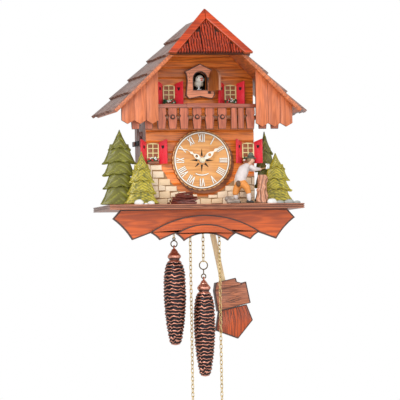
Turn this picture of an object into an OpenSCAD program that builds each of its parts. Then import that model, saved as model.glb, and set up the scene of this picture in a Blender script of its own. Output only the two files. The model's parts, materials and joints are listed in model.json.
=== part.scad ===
// Chalet cuckoo clock with a wood-chopper scene, chain-driven by two cone weights.
// Millimetres. Modelled from the shelf's top (z = 0) and the wall (y = 0, front towards -Y),
// then lowered so that the origin is the hanging hole in the back panel.

/* [Case] */
// Width of the house across its walls
case_w = 138; // [120:1:160]
// Depth of the house, wall to front wall
case_d = 68; // [64:1:90]
// Thickness of the wooden walls
wall_t = 5; // [4:0.5:7]
// Height of the hanging hole above the shelf
hang_z = 190; // [170:1:196]
// Radius of the hanging hole
hang_r = 4.5; // [3:0.5:6]
// Number of logs in the front wall
log_count = 17; // [10:1:24]

/* [Roof] */
// Height of the roof boards' underside at the ridge
ridge_z = 225; // [215:1:240]
// Slope of the roof in degrees
roof_angle = 44; // [40:1:47]
// Half width of the roof boards
eave_x = 116; // [112:1:130]
// Depth of the roof, wall to verge
roof_d = 119; // [114:1:126]
// Thickness of the roof boards
roof_t = 4.5; // [3:0.5:6]
// Thickness of a shingle row at its lower edge
shingle_t = 3.8; // [2.5:0.1:5]
// Rows of shingles on each side
shingle_rows = 5; // [3:1:7]
// Half width of the front half-hip
hip_x = 54; // [46:1:60]
// How far the half-hip leans out at its lower edge
hip_out = 32; // [24:1:36]
// Width of a barge board
barge_w = 12; // [8:0.5:16]

/* [Balcony and screens] */
// Half width of the balcony
balcony_x = 94; // [85:1:100]
// Depth of the balcony floor
balcony_d = 30; // [26:1:32]
// Height of the balcony floor's top
balcony_z = 110; // [106:1:112]
// Height of the hand rail's centre
rail_z = 122; // [119:1:125]
// Number of balusters
baluster_count = 13; // [9:1:13]
// Width of a baluster at its top
baluster_w = 12; // [9:0.5:12.5]
// Inner edge of the plank screens under the eaves
screen_in = 62; // [58:1:66]
// Outer edge of the plank screens
screen_out = 108.5; // [104:0.5:110]
// Height of the left screen's points
screen_z_left = 99; // [96:1:103]
// Height of the right screen's points
screen_z_right = 95; // [92:1:103]

/* [Dial] */
// Height of the dial's centre
dial_z = 55.5; // [52:0.5:58]
// Radius of the wooden dial
dial_r = 37.8; // [33:0.2:40]
// Radius of the white ring round the numerals
ring_r = 34.8; // [30:0.2:36]
// Thickness of the wooden dial
dial_t = 5; // [4:0.5:7]
// Length of the minute hand
minute_len = 34; // [26:0.5:36]
// Length of the hour hand
hour_len = 26; // [18:0.5:28]
// Radius of the centre arbor
arbor_r = 1.6; // [1.2:0.1:2]

/* [Cuckoo] */
// Height of the doorway's sill
door_sill_z = 143.5; // [141:0.5:146]
// Width of the doorway
doorway_w = 17.5; // [15:0.5:19]
// Height of the doorway
doorway_h = 22.5; // [20:0.5:25]
// How far the door covers the plate round the doorway
door_lap = 2; // [1.5:0.5:3]
// Thickness of the cuckoo door
door_t = 3.5; // [2.5:0.5:4]
// Angle of the open door
door_open = 112; // [95:1:120]

/* [Shelf and apron] */
// Width of the shelf
shelf_w = 248; // [236:1:262]
// Depth of the shelf
shelf_d = 104; // [98:1:116]
// Thickness of the shelf
shelf_t = 6; // [5:0.5:8]
// Thickness of each apron layer
apron_t = 4; // [3:0.5:5]
// Distance from the shelf's front edge to the apron
apron_back = 12; // [8:1:20]

/* [Movement] */
// Half width of the movement plates
plate_x = 40; // [38:1:46]
// Height of the movement plates' lower edge
plate_z0 = 12; // [10:1:16]
// Height of the movement plates' upper edge
plate_z1 = 106; // [104:1:112]
// Thickness of a movement plate
plate_t = 1.5; // [1:0.25:2]
// Height of the chain wheels' arbors
sprocket_z = 30; // [28:1:34]
// Distance from a chain wheel's centre to its chain
chain_r = 10.5; // [10:0.1:11]
// Place of the going chain wheel
going_x = -19; // [-21:0.5:-18]
// Place of the strike chain wheel
strike_x = 18.5; // [18:0.5:20]
// Radial running clearance of pins and arbors
run_gap = 0.06; // [0.02:0.01:0.1]

/* [Weights and chains] */
// Length of a cone weight
cone_l = 126; // [110:1:140]
// Largest radius of a cone weight
cone_r = 13.6; // [11:0.1:14]
// Height of the going weight's top, below the shelf
going_top = -49; // [-80:1:-49]
// Height of the strike weight's top
strike_top = -89; // [-120:1:-80]
// Pitch of the chain
link_p = 5; // [4.5:0.1:5.5]
// Radius of the chain's wire
wire_r = 0.5; // [0.4:0.05:0.6]
// Number of links in each free strand
free_links = 56; // [50:1:60]
// Links of each chain that travel inside the case
spare_links = 9; // [6:1:9]

/* [Pendulum] */
// Height of the pendulum's pivot
pivot_z = 96; // [92:1:98]
// Tilt of the pendulum at rest, in degrees
swing = 11.5; // [6:0.5:12]
// Length of the pendulum stick
stick_l = 208; // [196:1:216]
// Width of the pendulum stick
stick_w = 6.8; // [5:0.2:8]
// Width of the pendulum bob
bob_w = 44; // [36:1:48]

/* [Hidden] */
$fn = 48;

tan_roof = tan(roof_angle);
wall_x = case_w / 2;
front_y = -case_d;
log_t = wall_t;
peg_gap = 0.02;
// underside of the roof boards above a place x
function roof_under(x) = ridge_z - abs(x) * tan_roof;
roof_v = roof_t / cos(roof_angle);

module place() { translate([0, 0, -hang_z]) children(); }
// extrudes an outline drawn in x and z, from y1 back to y0
module slab(y0, y1) {
    translate([0, y0, 0]) rotate([90, 0, 0]) linear_extrude(y0 - y1) children();
}
module pin_y(x, z, y0, y1, r) { translate([x, y0, z]) rotate([90, 0, 0]) cylinder(h = y0 - y1, r = r); }
module block(x0, x1, y0, y1, z0, z1) { translate([x0, y0, z0]) cube([x1 - x0, y1 - y0, z1 - z0]); }
module both() {
    children();
    mirror([1, 0, 0]) children();
}

// ---- case ----
function gable(x) = [[-x, 0], [x, 0], [x, roof_under(x)], [0, ridge_z], [-x, roof_under(x)]];
// a tear-shaped sound hole, point down
module tear(w, h) {
    hull() {
        translate([0, h / 2 - w / 2]) circle(r = w / 2, $fn = 32);
        translate([0, -h / 2 + 0.4]) circle(r = 0.4, $fn = 16);
    }
}
side_in = wall_x - wall_t;
door_y0 = -6;
door_y1 = -40;
door_z0 = 10;
door_z1 = 102;
door_gap = 0.4;
hole_z = 92;
hole_y = -20;
side_hinge_x = -wall_x - 1.6;
side_hinge_y = door_y1 + 0.2;
side_pin_r = 1;
side_knuckle_r = 1.5;
knuckle_zs = [24, 84];
knuckle_h = 6;
latch_z = 79.5;
latch_y = -12;
latch_pin_r = 1.4;

module back_panel() {
    color("peru") place() difference() {
        slab(0, -wall_t) polygon(gable(side_in - peg_gap));
        pin_y(0, hang_z, 1, -wall_t - 1, hang_r);
        for (i = [-3:3]) block(i * 9 - 1.5, i * 9 + 1.5, -wall_t - 1, 1, 120, 150 - abs(i) * 5);
    }
}
module side_wall_plate() {
    block(side_in, wall_x, front_y + wall_t, 0, 0, roof_under(wall_x) - 0.1);
}
module side_frame_left() {
    color("sienna") place() {
        difference() {
            mirror([1, 0, 0]) side_wall_plate();
            block(-wall_x - 1, -side_in + 1, door_y1, door_y0, door_z0, door_z1);
        }
        for (z = knuckle_zs) {
            for (dz = [-knuckle_h - 0.3, knuckle_h + 0.3]) difference() {
                union() {
                    translate([side_hinge_x, side_hinge_y, z + dz - knuckle_h / 2])
                        cylinder(h = knuckle_h, r = side_knuckle_r);
                    block(side_hinge_x, -wall_x, side_hinge_y - 5, side_hinge_y - 1,
                        z + dz - knuckle_h / 2, z + dz + knuckle_h / 2);
                }
                translate([side_hinge_x, side_hinge_y, z + dz - knuckle_h])
                    cylinder(h = 2 * knuckle_h, r = side_pin_r - 0.1);
            }
            translate([side_hinge_x, side_hinge_y, z - 1.5 * knuckle_h - 0.3])
                cylinder(h = 3 * knuckle_h + 0.6, r = side_pin_r);
        }
    }
}
module side_panel_right() {
    color("sienna") place() difference() {
        side_wall_plate();
        translate([wall_x + 1, hole_y, hole_z]) rotate([90, 0, -90]) linear_extrude(wall_t + 2) tear(8, 16);
        for (y = [door_y0, door_y1]) block(wall_x - 0.8, wall_x + 1, y - 0.4, y + 0.4, door_z0, door_z1);
        for (z = [door_z0, door_z1]) block(wall_x - 0.8, wall_x + 1, door_y1, door_y0, z - 0.4, z + 0.4);
    }
}
module side_door() {
    color("sienna") place() difference() {
        union() {
            block(-wall_x, -side_in, door_y1 + door_gap, door_y0 - door_gap,
                door_z0 + door_gap, door_z1 - door_gap);
            for (z = knuckle_zs) {
                translate([side_hinge_x, side_hinge_y, z - knuckle_h / 2])
                    cylinder(h = knuckle_h, r = side_knuckle_r);
                block(side_hinge_x, -wall_x + 0.5, side_hinge_y + 0.8, side_hinge_y + 7,
                    z - knuckle_h / 2, z + knuckle_h / 2);
            }
            translate([-wall_x - 3.2, latch_y, latch_z]) rotate([0, 90, 0])
                cylinder(h = 3.7, r = latch_pin_r);
            translate([-wall_x - 4.2, latch_y, latch_z]) rotate([0, 90, 0])
                cylinder(h = 1.2, r = latch_pin_r + 1.2);
        }
        for (z = knuckle_zs) translate([side_hinge_x, side_hinge_y, z - knuckle_h])
            cylinder(h = 2 * knuckle_h, r = side_pin_r + run_gap);
        translate([-side_in + 1, hole_y, hole_z]) rotate([90, 0, -90]) linear_extrude(wall_t + 2) tear(8, 16);
        translate([-wall_x - 1, hole_y, hole_z - 28]) rotate([0, 90, 0]) cylinder(h = wall_t + 2, r = 1);
    }
}
module side_latch() {
    color("black") place() difference() {
        union() {
            block(-wall_x - 2.4, -wall_x - 1, latch_y - 19.5, latch_y + 3, latch_z - 3, latch_z + 3);
            block(-wall_x - 3.6, -wall_x - 1, latch_y + 3, latch_y + 11, latch_z - 3, latch_z + 3);
        }
        translate([-wall_x - 5, latch_y, latch_z]) rotate([0, 90, 0])
            cylinder(h = 6, r = latch_pin_r + run_gap);
    }
}
log_h = ridge_z / log_count;
module front_wall() {
    doorway_top = door_sill_z + doorway_h - doorway_w / 2;
    color("chocolate") place() {
        difference() {
            slab(front_y + wall_t, front_y) polygon(gable(wall_x));
            for (i = [1:log_count - 1]) translate([-wall_x - 1, front_y, i * log_h]) rotate([45, 0, 0])
                translate([0, -0.8, -0.8]) cube([case_w + 2, 1.6, 1.6]);
            pin_y(0, dial_z, front_y + wall_t + 1, front_y - 1, 5);
            block(-doorway_w / 2, doorway_w / 2, front_y - 1, front_y + wall_t + 1, door_sill_z, doorway_top);
            pin_y(0, doorway_top, front_y + wall_t + 1, front_y - 1, doorway_w / 2);
        }
        // ledge that the bird's carriage slides on
        block(-6, 6, front_y + wall_t, front_y + wall_t + 30, door_sill_z - 3, door_sill_z);
    }
}
slot_y0 = -9;
slot_y1 = -19;
chain_y = -40;
module shelf() {
    w = shelf_w / 2;
    color("sienna") place() difference() {
        block(-w, w, -shelf_d, 0, -shelf_t, 0);
        block(-34, 34, slot_y1, slot_y0, -shelf_t - 1, 1);
        for (x = [going_x, strike_x], s = [-1, 1]) pin_y_up(x + s * chain_r);
        for (k = [1, 2]) {
            block(-w - 1, w + 1, -shelf_d - 1, -shelf_d + 0.8, -k * shelf_t / 3 - 0.4, -k * shelf_t / 3 + 0.4);
            for (s = [-1, 1]) block(s * w - 0.8, s * w + 0.8, -shelf_d - 1, 1,
                -k * shelf_t / 3 - 0.4, -k * shelf_t / 3 + 0.4);
        }
    }
}
module pin_y_up(x) { translate([x, chain_y, -shelf_t - 1]) cylinder(h = shelf_t + 2, r = 4); }

// ---- roof ----
module roof_strip(x0, x1, y0, y1, lift, t) {
    // board on the right slope from x0 to x1, its underside lift above the roof's underside
    translate([0, 0, ridge_z]) rotate([0, roof_angle, 0])
        translate([x0 / cos(roof_angle), y1, lift]) cube([(x1 - x0) / cos(roof_angle), y0 - y1, t]);
}
module roof_board_right() {
    color("chocolate") place() behind_hip() intersection() {
        roof_strip(-10, eave_x, 0, -roof_d, 0, roof_t);
        block(0, 300, -300, 1, -300, 400);
    }
}
module roof_board_left() {
    color("chocolate") place() behind_hip() intersection() {
        mirror([1, 0, 0]) roof_strip(-10, eave_x, 0, -roof_d, 0, roof_t);
        block(-300, 0, -300, 1, -300, 400);
    }
}
row_l = (eave_x + 2.5) / cos(roof_angle) / shingle_rows;
shingle_n = 9;
module shingles_half() {
    w = roof_d / shingle_n;
    translate([0, 0, ridge_z]) rotate([0, roof_angle, 0]) for (r = [0:shingle_rows - 1]) {
        x0 = r == 0 ? roof_t * tan_roof : r * row_l;
        x1 = (r + 1) * row_l;
        translate([0, 0, roof_t]) rotate([90, 0, 0]) linear_extrude(roof_d - 1)
            polygon([[x0, 0], [x1, 0], [x1 + 1, shingle_t], [x0, 0.8]]);
        for (i = [0:shingle_n - 1]) translate([x1 - 1, -(i + 1) * w + 0.4, roof_t + 0.4])
            cube([2.4 + (i * 7 + r * 3) % 3 * 0.5, w - 0.8, shingle_t - 0.4]);
    }
}
module shingles_right() { color("rosybrown") place() behind_hip() shingles_half(); }
module shingles_left() { color("rosybrown") place() behind_hip() mirror([1, 0, 0]) shingles_half(); }

// the half-hip: a carved panel and two barge boards that lean out from the verge
hip_z1 = ridge_z + roof_v + 8.5;
hip_z0 = hip_z1 - hip_x * 1.055;
hip_lean = atan(hip_out / (hip_z1 - hip_z0));
hip_l = (hip_z1 - hip_z0) / cos(hip_lean);
hip_y = -roof_d + hip_out / 2 + 5;
module hip_frame() {
    translate([0, hip_y, hip_z1]) rotate([90 - hip_lean, 0, 0]) children();
}
// keeps what lies behind the half-hip's plane
module behind_hip() {
    difference() {
        children();
        hip_frame() translate([-100, -60, -2]) cube([200, 120, 60]);
    }
}
module hip_panel() {
    inner = hip_x - 3;
    color("orangered") place() hip_frame() {
        translate([0, 0, -2]) linear_extrude(4) polygon([[0, -5], [inner, -hip_l + 1], [-inner, -hip_l + 1]]);
        // a stepped thatch between the barge boards
        translate([0, 0, 2]) linear_extrude(2.5)
            polygon([[-36, -hip_l + 2], [36, -hip_l + 2], [24, -hip_l + 15], [20, -hip_l + 23],
                [7, -hip_l + 34], [-7, -hip_l + 34], [-20, -hip_l + 23], [-24, -hip_l + 15]]);
    }
}
module barge_boards() {
    color("orangered") place() hip_frame() both()
        translate([0, 0, 2]) linear_extrude(5)
            polygon([[0.05, 0], [hip_x, -hip_l], [hip_x - barge_w * 0.9, -hip_l - 1], [0.05, -barge_w * 1.3]]);
}

// ---- screens and balcony ----
screen_y = -roof_d + 8;
screen_t = 4;
plank_w = (screen_out - screen_in) / 3;
module screen(tip_z) {
    difference() {
        slab(screen_y + screen_t, screen_y) {
            for (i = [0:2]) {
                x0 = screen_in + i * plank_w;
                x1 = x0 + plank_w;
                xm = (x0 + x1) / 2;
                polygon([[x0, tip_z + 4.5], [xm, tip_z], [x1, tip_z + 4.5],
                    [x1, roof_under(x1) - 0.05], [x0, roof_under(x0) - 0.05]]);
            }
        }
        for (i = [1:2]) block(screen_in + i * plank_w - 0.4, screen_in + i * plank_w + 0.4,
            screen_y - 1, screen_y + 0.8, 90, 200);
    }
}
module plank_screens() {
    color("sandybrown") place() {
        screen(screen_z_right);
        mirror([1, 0, 0]) screen(screen_z_left);
    }
}
floor_y = front_y - balcony_d;
baluster_xs = [-89, -72.5, -56, -42, -27.5, -11, 5, 21, 36, 45, 57, 72.5, 88];
baluster_t = 3;
module balcony_floor() {
    color("saddlebrown") place() difference() {
        block(-balcony_x, balcony_x, floor_y, front_y, balcony_z - 4, balcony_z);
        for (s = [-1, 1]) block(s * 60 - 4, s * 60 + 4, front_y - 1.2, front_y + 1, balcony_z - 5, balcony_z + 1);
    }
}
module baluster_shape() {
    w = baluster_w / 2;
    top = rail_z - 2.5 - 93;
    difference() {
        polygon([[-w * 0.75, 0], [w * 0.75, 0], [w, top * 0.6], [w * 0.92, top], [-w * 0.92, top], [-w, top * 0.6]]);
        for (s = [-1, 1]) translate([s * w * 1.05, top * 0.62]) circle(r = 1.7);
    }
}
module balusters() {
    color("indianred") place() for (i = [0:len(baluster_xs) - 1]) {
        x = baluster_xs[i];
        narrow = x > 32 && x < 50 ? 0.62 : 1;
        translate([x, floor_y, 93]) rotate([90, 0, 0]) linear_extrude(baluster_t)
            intersection() {
                baluster_shape();
                translate([-baluster_w * narrow / 2, 0]) square([baluster_w * narrow, 60]);
            }
        if (i % 2 == 1 && i < 9 && i > 2) translate([x, floor_y - baluster_t, 108])
            rotate([90, 0, 0]) cylinder(h = 2.2, r1 = 2.8, r2 = 2);
    }
}
module balcony_rail() {
    color("indianred") place() {
        block(-balcony_x, -24, floor_y - 4, floor_y + 1.5, rail_z - 2.5, rail_z + 2);
        block(-24, 32, floor_y - 5.5, floor_y + 1.5, rail_z - 2.5, rail_z + 2.8);
        block(32, balcony_x, floor_y - 4, floor_y + 1.5, rail_z - 2.5, rail_z + 2);
        // ends that tie the rail to the walls' corner
        both() block(screen_out - 16, balcony_x - 0.1, floor_y + 1.5, front_y, rail_z - 2.5, rail_z + 2);
        both() block(screen_out - 16, balcony_x - 0.1, front_y - 6, front_y - 2, balcony_z, rail_z - 2.5);
    }
}

// ---- windows ----
win_w = 15;
win_h = 19;
upper_x = 39.5;
upper_z = 131;
lower_x = 61;
lower_z = 58.5;
win_t = 2;
windows = [[-upper_x, upper_z], [upper_x, upper_z], [-lower_x, lower_z], [lower_x, lower_z]];
module window_shape() {
    difference() {
        union() {
            translate([-win_w / 2, 0]) square([win_w, win_h - 2]);
            intersection() {
                translate([0, win_h - 16]) circle(r = 16, $fn = 64);
                translate([-win_w / 2, 0]) square([win_w, win_h]);
            }
        }
        for (i = [0:1], j = [0:2]) translate([-win_w / 2 + 1.3 + i * 6.7, 1.3 + j * 5.7]) square([5.7, 4.7]);
    }
}
module window_frames() {
    color("wheat") place() for (w = windows) translate([w[0], 0, w[1]])
        slab(front_y, front_y - win_t) window_shape();
}
shutter_l = 11.5;
shutter_gap = 1.6;
shutter_a = 45;
module shutter_leaf() {
    // hinged at x = 0, free edge towards +X
    rotate([0, 0, -shutter_a]) rotate([90, 0, 0]) linear_extrude(1.8) difference() {
        polygon([[0, -7], [shutter_l, -7], [shutter_l, 23.5], [0, 20]]);
        translate([shutter_l / 2, 13]) rotate(45) {
            translate([-1.1, -1.1]) square(2.2);
            translate([1.1, 0]) circle(r = 1.1, $fn = 16);
            translate([0, 1.1]) circle(r = 1.1, $fn = 16);
        }
    }
}
module shutters() {
    color("crimson") place() for (w = windows) translate([w[0], front_y, w[1]])
        both() translate([win_w / 2 + shutter_gap, 0, 0]) shutter_leaf();
}
module flower_boxes() {
    color("darkgreen") place() for (w = windows) translate([w[0], 0, w[1]]) {
        block(-7, 7, front_y - 5, front_y, -7, -3.2);
        for (i = [-1:1]) translate([i * 4.4, front_y - 4.6, -1.6 + abs(i) * 0.3]) sphere(r = 2.4, $fn = 16);
    }
}

// ---- cuckoo doorway ----
plate_y = front_y - 6;
arch_z = door_sill_z + doorway_h - doorway_w / 2;
module plate_half() {
    polygon([[0, 176], [19.5, 166.3], [17.6, 163], [16.6, 154], [18.4, 137], [15, 132.3],
        [9, 133.2], [0, 135.2]]);
}
door_half = doorway_w / 2 + door_lap;
hinge_x = door_half + 0.75;
hinge_y = plate_y - 0.5 - door_t / 2;
hinge_r = 0.5;
door_z_low = door_sill_z - door_lap;
knuckle_top = arch_z - 1;
module cuckoo_plate() {
    color("rosybrown") place() {
        difference() {
            slab(front_y, plate_y) {
                plate_half();
                mirror([1, 0]) plate_half();
            }
            block(-doorway_w / 2, doorway_w / 2, plate_y - 1, front_y + 1, door_sill_z, arch_z);
            pin_y(0, arch_z, front_y + 1, plate_y - 1, doorway_w / 2);
        }
        for (z = [door_z_low - 2, knuckle_top + 0.3])
            block(hinge_x - 1.1, hinge_x + 1.1, hinge_y - 1.1, plate_y, z, z + 1.7);
        translate([hinge_x, hinge_y, door_z_low - 2]) cylinder(h = knuckle_top - door_z_low + 4, r = hinge_r);
    }
}
module cuckoo_door() {
    color("saddlebrown") place() translate([hinge_x, hinge_y, 0]) rotate([0, 0, door_open])
        translate([-hinge_x, -hinge_y, 0]) difference() {
            union() {
                slab(hinge_y + door_t / 2, hinge_y - door_t / 2) {
                    translate([-door_half, door_z_low]) square([2 * door_half, arch_z - door_z_low]);
                    translate([0, arch_z]) circle(r = door_half, $fn = 64);
                }
                translate([hinge_x, hinge_y, door_z_low]) cylinder(h = knuckle_top - door_z_low, r = 1.2);
            }
            translate([hinge_x, hinge_y, door_z_low - 1])
                cylinder(h = knuckle_top - door_z_low + 2, r = hinge_r + run_gap);
            translate([0, 0, knuckle_top]) translate([hinge_x - 1.6, hinge_y - 4, 0]) cube([4, 8, 20]);
        }
}
module cuckoo_bird() {
    z = door_sill_z + 8.5;
    color("ivory") place() {
        translate([0, front_y + 2.5, z]) sphere(r = 6);
        translate([0, front_y + 6, z]) sphere(r = 5);
        translate([0.4, front_y + 0.4, z + 4.4]) sphere(r = 4.6);
        translate([0.4, front_y - 4, z + 4.4]) rotate([90, 0, 0]) cylinder(h = 1.7, r1 = 1.5, r2 = 0.3);
        block(-2.2, 2.2, front_y + 7, front_y + 20, z - 1.5, z + 0.5);
        block(-1, 1, front_y + 1, front_y + 4, door_sill_z + 1.3, z - 4);
        block(-3, 3, front_y - 1, front_y + 30, door_sill_z + 0.2, door_sill_z + 1.6);
    }
}

// ---- dial and hands ----
dial_y0 = front_y - 2;
dial_y1 = dial_y0 - dial_t;
// the backing shows below and to the right of the dial
back_x = 3.5;
back_drop = 3;
back_r = dial_r + 1;
star_r = 15;
module at_dial(a) { translate([0, 0, dial_z]) rotate([0, a, 0]) children(); }
module dial_backing() {
    color("saddlebrown") place() difference() {
        pin_y(back_x, dial_z - back_drop, front_y, dial_y0, back_r);
        pin_y(0, dial_z, front_y + 1, dial_y0 - 1, 4);
    }
}
module dial_disc() {
    color("burlywood") place() difference() {
        // a scalloped edge of 36 shallow bows
        translate([0, 0, dial_z]) slab(dial_y0, dial_y1) polygon([for (i = [0:35], k = [0:5])
            let (a = i * 10 + k * 10 / 6, r = dial_r - 1 + sin(k * 30)) [r * cos(a), r * sin(a)]]);
        pin_y(0, dial_z, dial_y0 + 1, dial_y1 - 1, 3.2);
        for (i = [0:7]) at_dial(i * 45) slab(dial_y1 + 1.6, dial_y1 - 1)
            polygon([[-1.3, 5.5], [1.3, 5.5], [0.2, i % 2 == 0 ? star_r : star_r - 3], [-0.2, star_r - 3]]);
    }
}
numerals = ["XII", "I", "II", "III", "IIII", "V", "VI", "VII", "VIII", "IX", "X", "XI"];
num_h = 8;
num_r = 23.8;
stroke = 0.85;
letter_w = [1.9, 4.4];
function letter(c) = c == "I" ? letter_w[0] : letter_w[1];
function width_to(s, n) = n == 0 ? 0 : letter(s[n - 1]) + width_to(s, n - 1);
module bar(x0, x1) {
    polygon([[x0 - stroke / 2, 0], [x0 + stroke / 2, 0], [x1 + stroke / 2, num_h], [x1 - stroke / 2, num_h]]);
}
module numeral(s) {
    w = width_to(s, len(s));
    for (i = [0:len(s) - 1]) {
        x = width_to(s, i) - w / 2 + letter(s[i]) / 2;
        if (s[i] == "I") bar(x, x);
        if (s[i] == "V") {
            bar(x, x - 1.5);
            bar(x, x + 1.5);
        }
        if (s[i] == "X") {
            bar(x - 1.5, x + 1.5);
            bar(x + 1.5, x - 1.5);
        }
    }
}
module dial_numerals() {
    y = dial_y1;
    color("white") place() {
        translate([0, 0, dial_z]) slab(y, y - 1) difference() {
            circle(r = ring_r, $fn = 96);
            circle(r = ring_r - 1, $fn = 96);
        }
        for (i = [0:11]) at_dial(i * 30) translate([0, 0, num_r]) slab(y, y - 1) numeral(numerals[i]);
        at_dial(0) slab(y, y - 0.8) intersection() {
            difference() {
                circle(r = 20.6, $fn = 64);
                circle(r = 19.8, $fn = 64);
            }
            translate([-9, -22]) square([18, 6]);
        }
    }
}
hour_y = dial_y1 - 2;
minute_y = hour_y - 2.4;
hand_t = 1;
minute_angle = 54;
hour_angle = 300 + minute_angle / 12;
module hand_shape(l, w) {
    difference() {
        union() {
            circle(r = 3.4);
            polygon([[-0.8, 0], [-w, l * 0.3], [-w * 0.75, l * 0.42], [-0.5, l * 0.52], [-w * 0.6, l * 0.62],
                [-0.45, l * 0.72], [0, l], [0.45, l * 0.72], [w * 0.6, l * 0.62], [0.5, l * 0.52],
                [w * 0.75, l * 0.42], [w, l * 0.3], [0.8, 0]]);
        }
        translate([0, l * 0.33]) circle(r = w * 0.55, $fn = 24);
    }
}
pipe_r = 2.7;
module hour_hand() {
    color("ivory") place() difference() {
        union() {
            at_dial(hour_angle) slab(hour_y, hour_y - hand_t) hand_shape(hour_len, 3);
            pin_y(0, dial_z, motion_y - 1.6, hour_y - hand_t, pipe_r);
            translate([0, 0, dial_z]) slab(motion_y - 1.6, motion_y - 2.7) gear(9.6, 40);
        }
        pin_y(0, dial_z, motion_y + 1, hour_y - hand_t - 1, arbor_r + run_gap);
    }
}
module minute_hand() {
    color("ivory") place() difference() {
        at_dial(minute_angle) slab(minute_y, minute_y - hand_t) hand_shape(minute_len, 3.6);
        pin_y(0, dial_z, minute_y + 1, minute_y - hand_t - 1, arbor_r);
    }
}
module hand_nut() {
    color("ivory") place() difference() {
        union() {
            pin_y(0, dial_z, minute_y - hand_t, minute_y - hand_t - 1.6, 3);
            pin_y(0, dial_z, minute_y - hand_t - 1.6, minute_y - hand_t - 2.6, 2.3);
        }
        pin_y(0, dial_z, minute_y, minute_y - hand_t - 1.4, arbor_r);
    }
}

// ---- apron ----
apron_y = -shelf_d + apron_back;
// points on the arc through (-c, z1), (0, z0) and (c, z1)
function arch(c, z1, z0, n) =
    let (s = z0 - z1, r = (c * c + s * s) / (2 * s), h = asin(c / r))
    [for (i = [0:n]) let (a = -h + 2 * h * i / n) [r * sin(a), z0 - r + r * cos(a)]];
// points from p to q with a hollow of depth d
function hollow(p, q, d, n) = [for (i = [0:n]) let (t = i / n, m = q - p, k = norm(m))
    p + m * t + [m[1], -m[0]] / k * (-4 * d * t * (1 - t))];
apron_top = -shelf_t;
apron_tip = [shelf_w / 2 - 7.5, -17];
module apron_half_outer() {
    polygon(concat([[0, apron_top], [apron_tip[0] - 10, apron_top]],
        hollow(apron_tip, [92, -43.5], -1.8, 8), [[69, -35.2], [36, -33], [0, -33]]));
}
module apron_outer() {
    color("sienna") place() slab(apron_y + 3 * apron_t, apron_y + 2 * apron_t) {
        apron_half_outer();
        mirror([1, 0]) apron_half_outer();
    }
}
module apron_middle() {
    color("sienna") place() slab(apron_y + 2 * apron_t, apron_y + apron_t)
        polygon(concat(arch(70, -34, -13, 16), hollow([69, -35.2], [58, -44], -0.8, 4),
            [[41, -37], [30, -33.5], [-30, -33.5], [-41, -37]], hollow([-58, -44], [-69, -35.2], -0.8, 4)));
}
module apron_inner() {
    base = arch(28, -45.5, -36.5, 12);
    color("sienna") place() slab(apron_y + apron_t, apron_y)
        polygon(concat(arch(38, -36, -24.5, 12), hollow([37.5, -37], [28, -45.5], -0.7, 4),
            [for (i = [11:-1:1]) base[i]], hollow([-28, -45.5], [-37.5, -37], -0.7, 4)));
}

// ---- scene on the shelf ----
module fir(x, y, w, h, t, n) {
    // a carved fir as a flat solid with n tiers
    side = [for (i = [0:n - 1]) let (z0 = h * (n - i) / (n + 0.6), z1 = h * (n - i - 1) / (n + 0.6),
        r = w / 2 * (i + 1) / n) each [[r * 0.45, z0], [r, z1 + 1.5], [r * 0.55, z1]]];
    translate([x, y + t / 2, 0]) rotate([90, 0, 0]) linear_extrude(t)
        polygon(concat([[0, h]], side, [for (i = [len(side) - 1:-1:0]) [-side[i][0], side[i][1]]]));
}
module firs_left() {
    color("darkolivegreen") place() {
        fir(-103, -74, 50, 92, 14, 5);
        fir(-80, -89, 48, 64, 13, 5);
    }
}
module firs_right() {
    color("darkolivegreen") place() {
        fir(86, -56, 30, 91, 12, 4);
        fir(95, -75, 44, 62, 14, 4);
    }
}
module pebble(x, y, r) {
    intersection() {
        translate([x, y, -r * 0.35]) sphere(r = r);
        block(x - 30, x + 30, -shelf_d, -95.8, 0, 30);
    }
}
module pebbles() {
    color("whitesmoke") place() for (p = [[-86, -99, 6], [-70, -99, 5], [84.5, -99.5, 4.5], [94, -98.5, 5],
        [106, -98, 5.5], [116, -98.5, 4]]) pebble(p[0], p[1], p[2]);
}
wall_stone_t = 2.4;
module stone_wall() {
    color("wheat") place() difference() {
        slab(front_y, front_y - wall_stone_t) polygon([[-wall_x, 0], [-wall_x, 48], [-58, 48], [-46, 41],
            [-44, 32], [-36, 26], [-30, 17], [-12, 11], [12, 11], [26, 18], [38, 27], [48, 32], [wall_x, 32],
            [wall_x, 0]]);
        pin_y(back_x, dial_z - back_drop, front_y + 1, front_y - 9, back_r + 0.2);
        for (i = [1:6]) block(-wall_x - 1, wall_x + 1, front_y - 4, front_y - wall_stone_t + 0.6,
            i * 7.5 - 0.3, i * 7.5 + 0.3);
    }
}
module wood_pile() {
    color("saddlebrown") place() intersection() {
        for (i = [0:4], j = [0:4]) if (i + j < 7) {
            l = 30 - 3.5 * j;
            translate([-38 + 2.3 * j, -98 + 3.3 * i, 1.7 + 3.1 * j])
                rotate([(i * 7 + j * 3) % 5 - 2, 90, 4 * (i - 2)]) cylinder(h = l, r = 1.8, $fn = 16);
        }
        block(-60, 20, -shelf_d, front_y - wall_stone_t, 0, 60);
    }
}
fig_x = 51;
fig_y = -91;
shoulder = [57, 47];
shoulder_r = 1;
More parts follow.
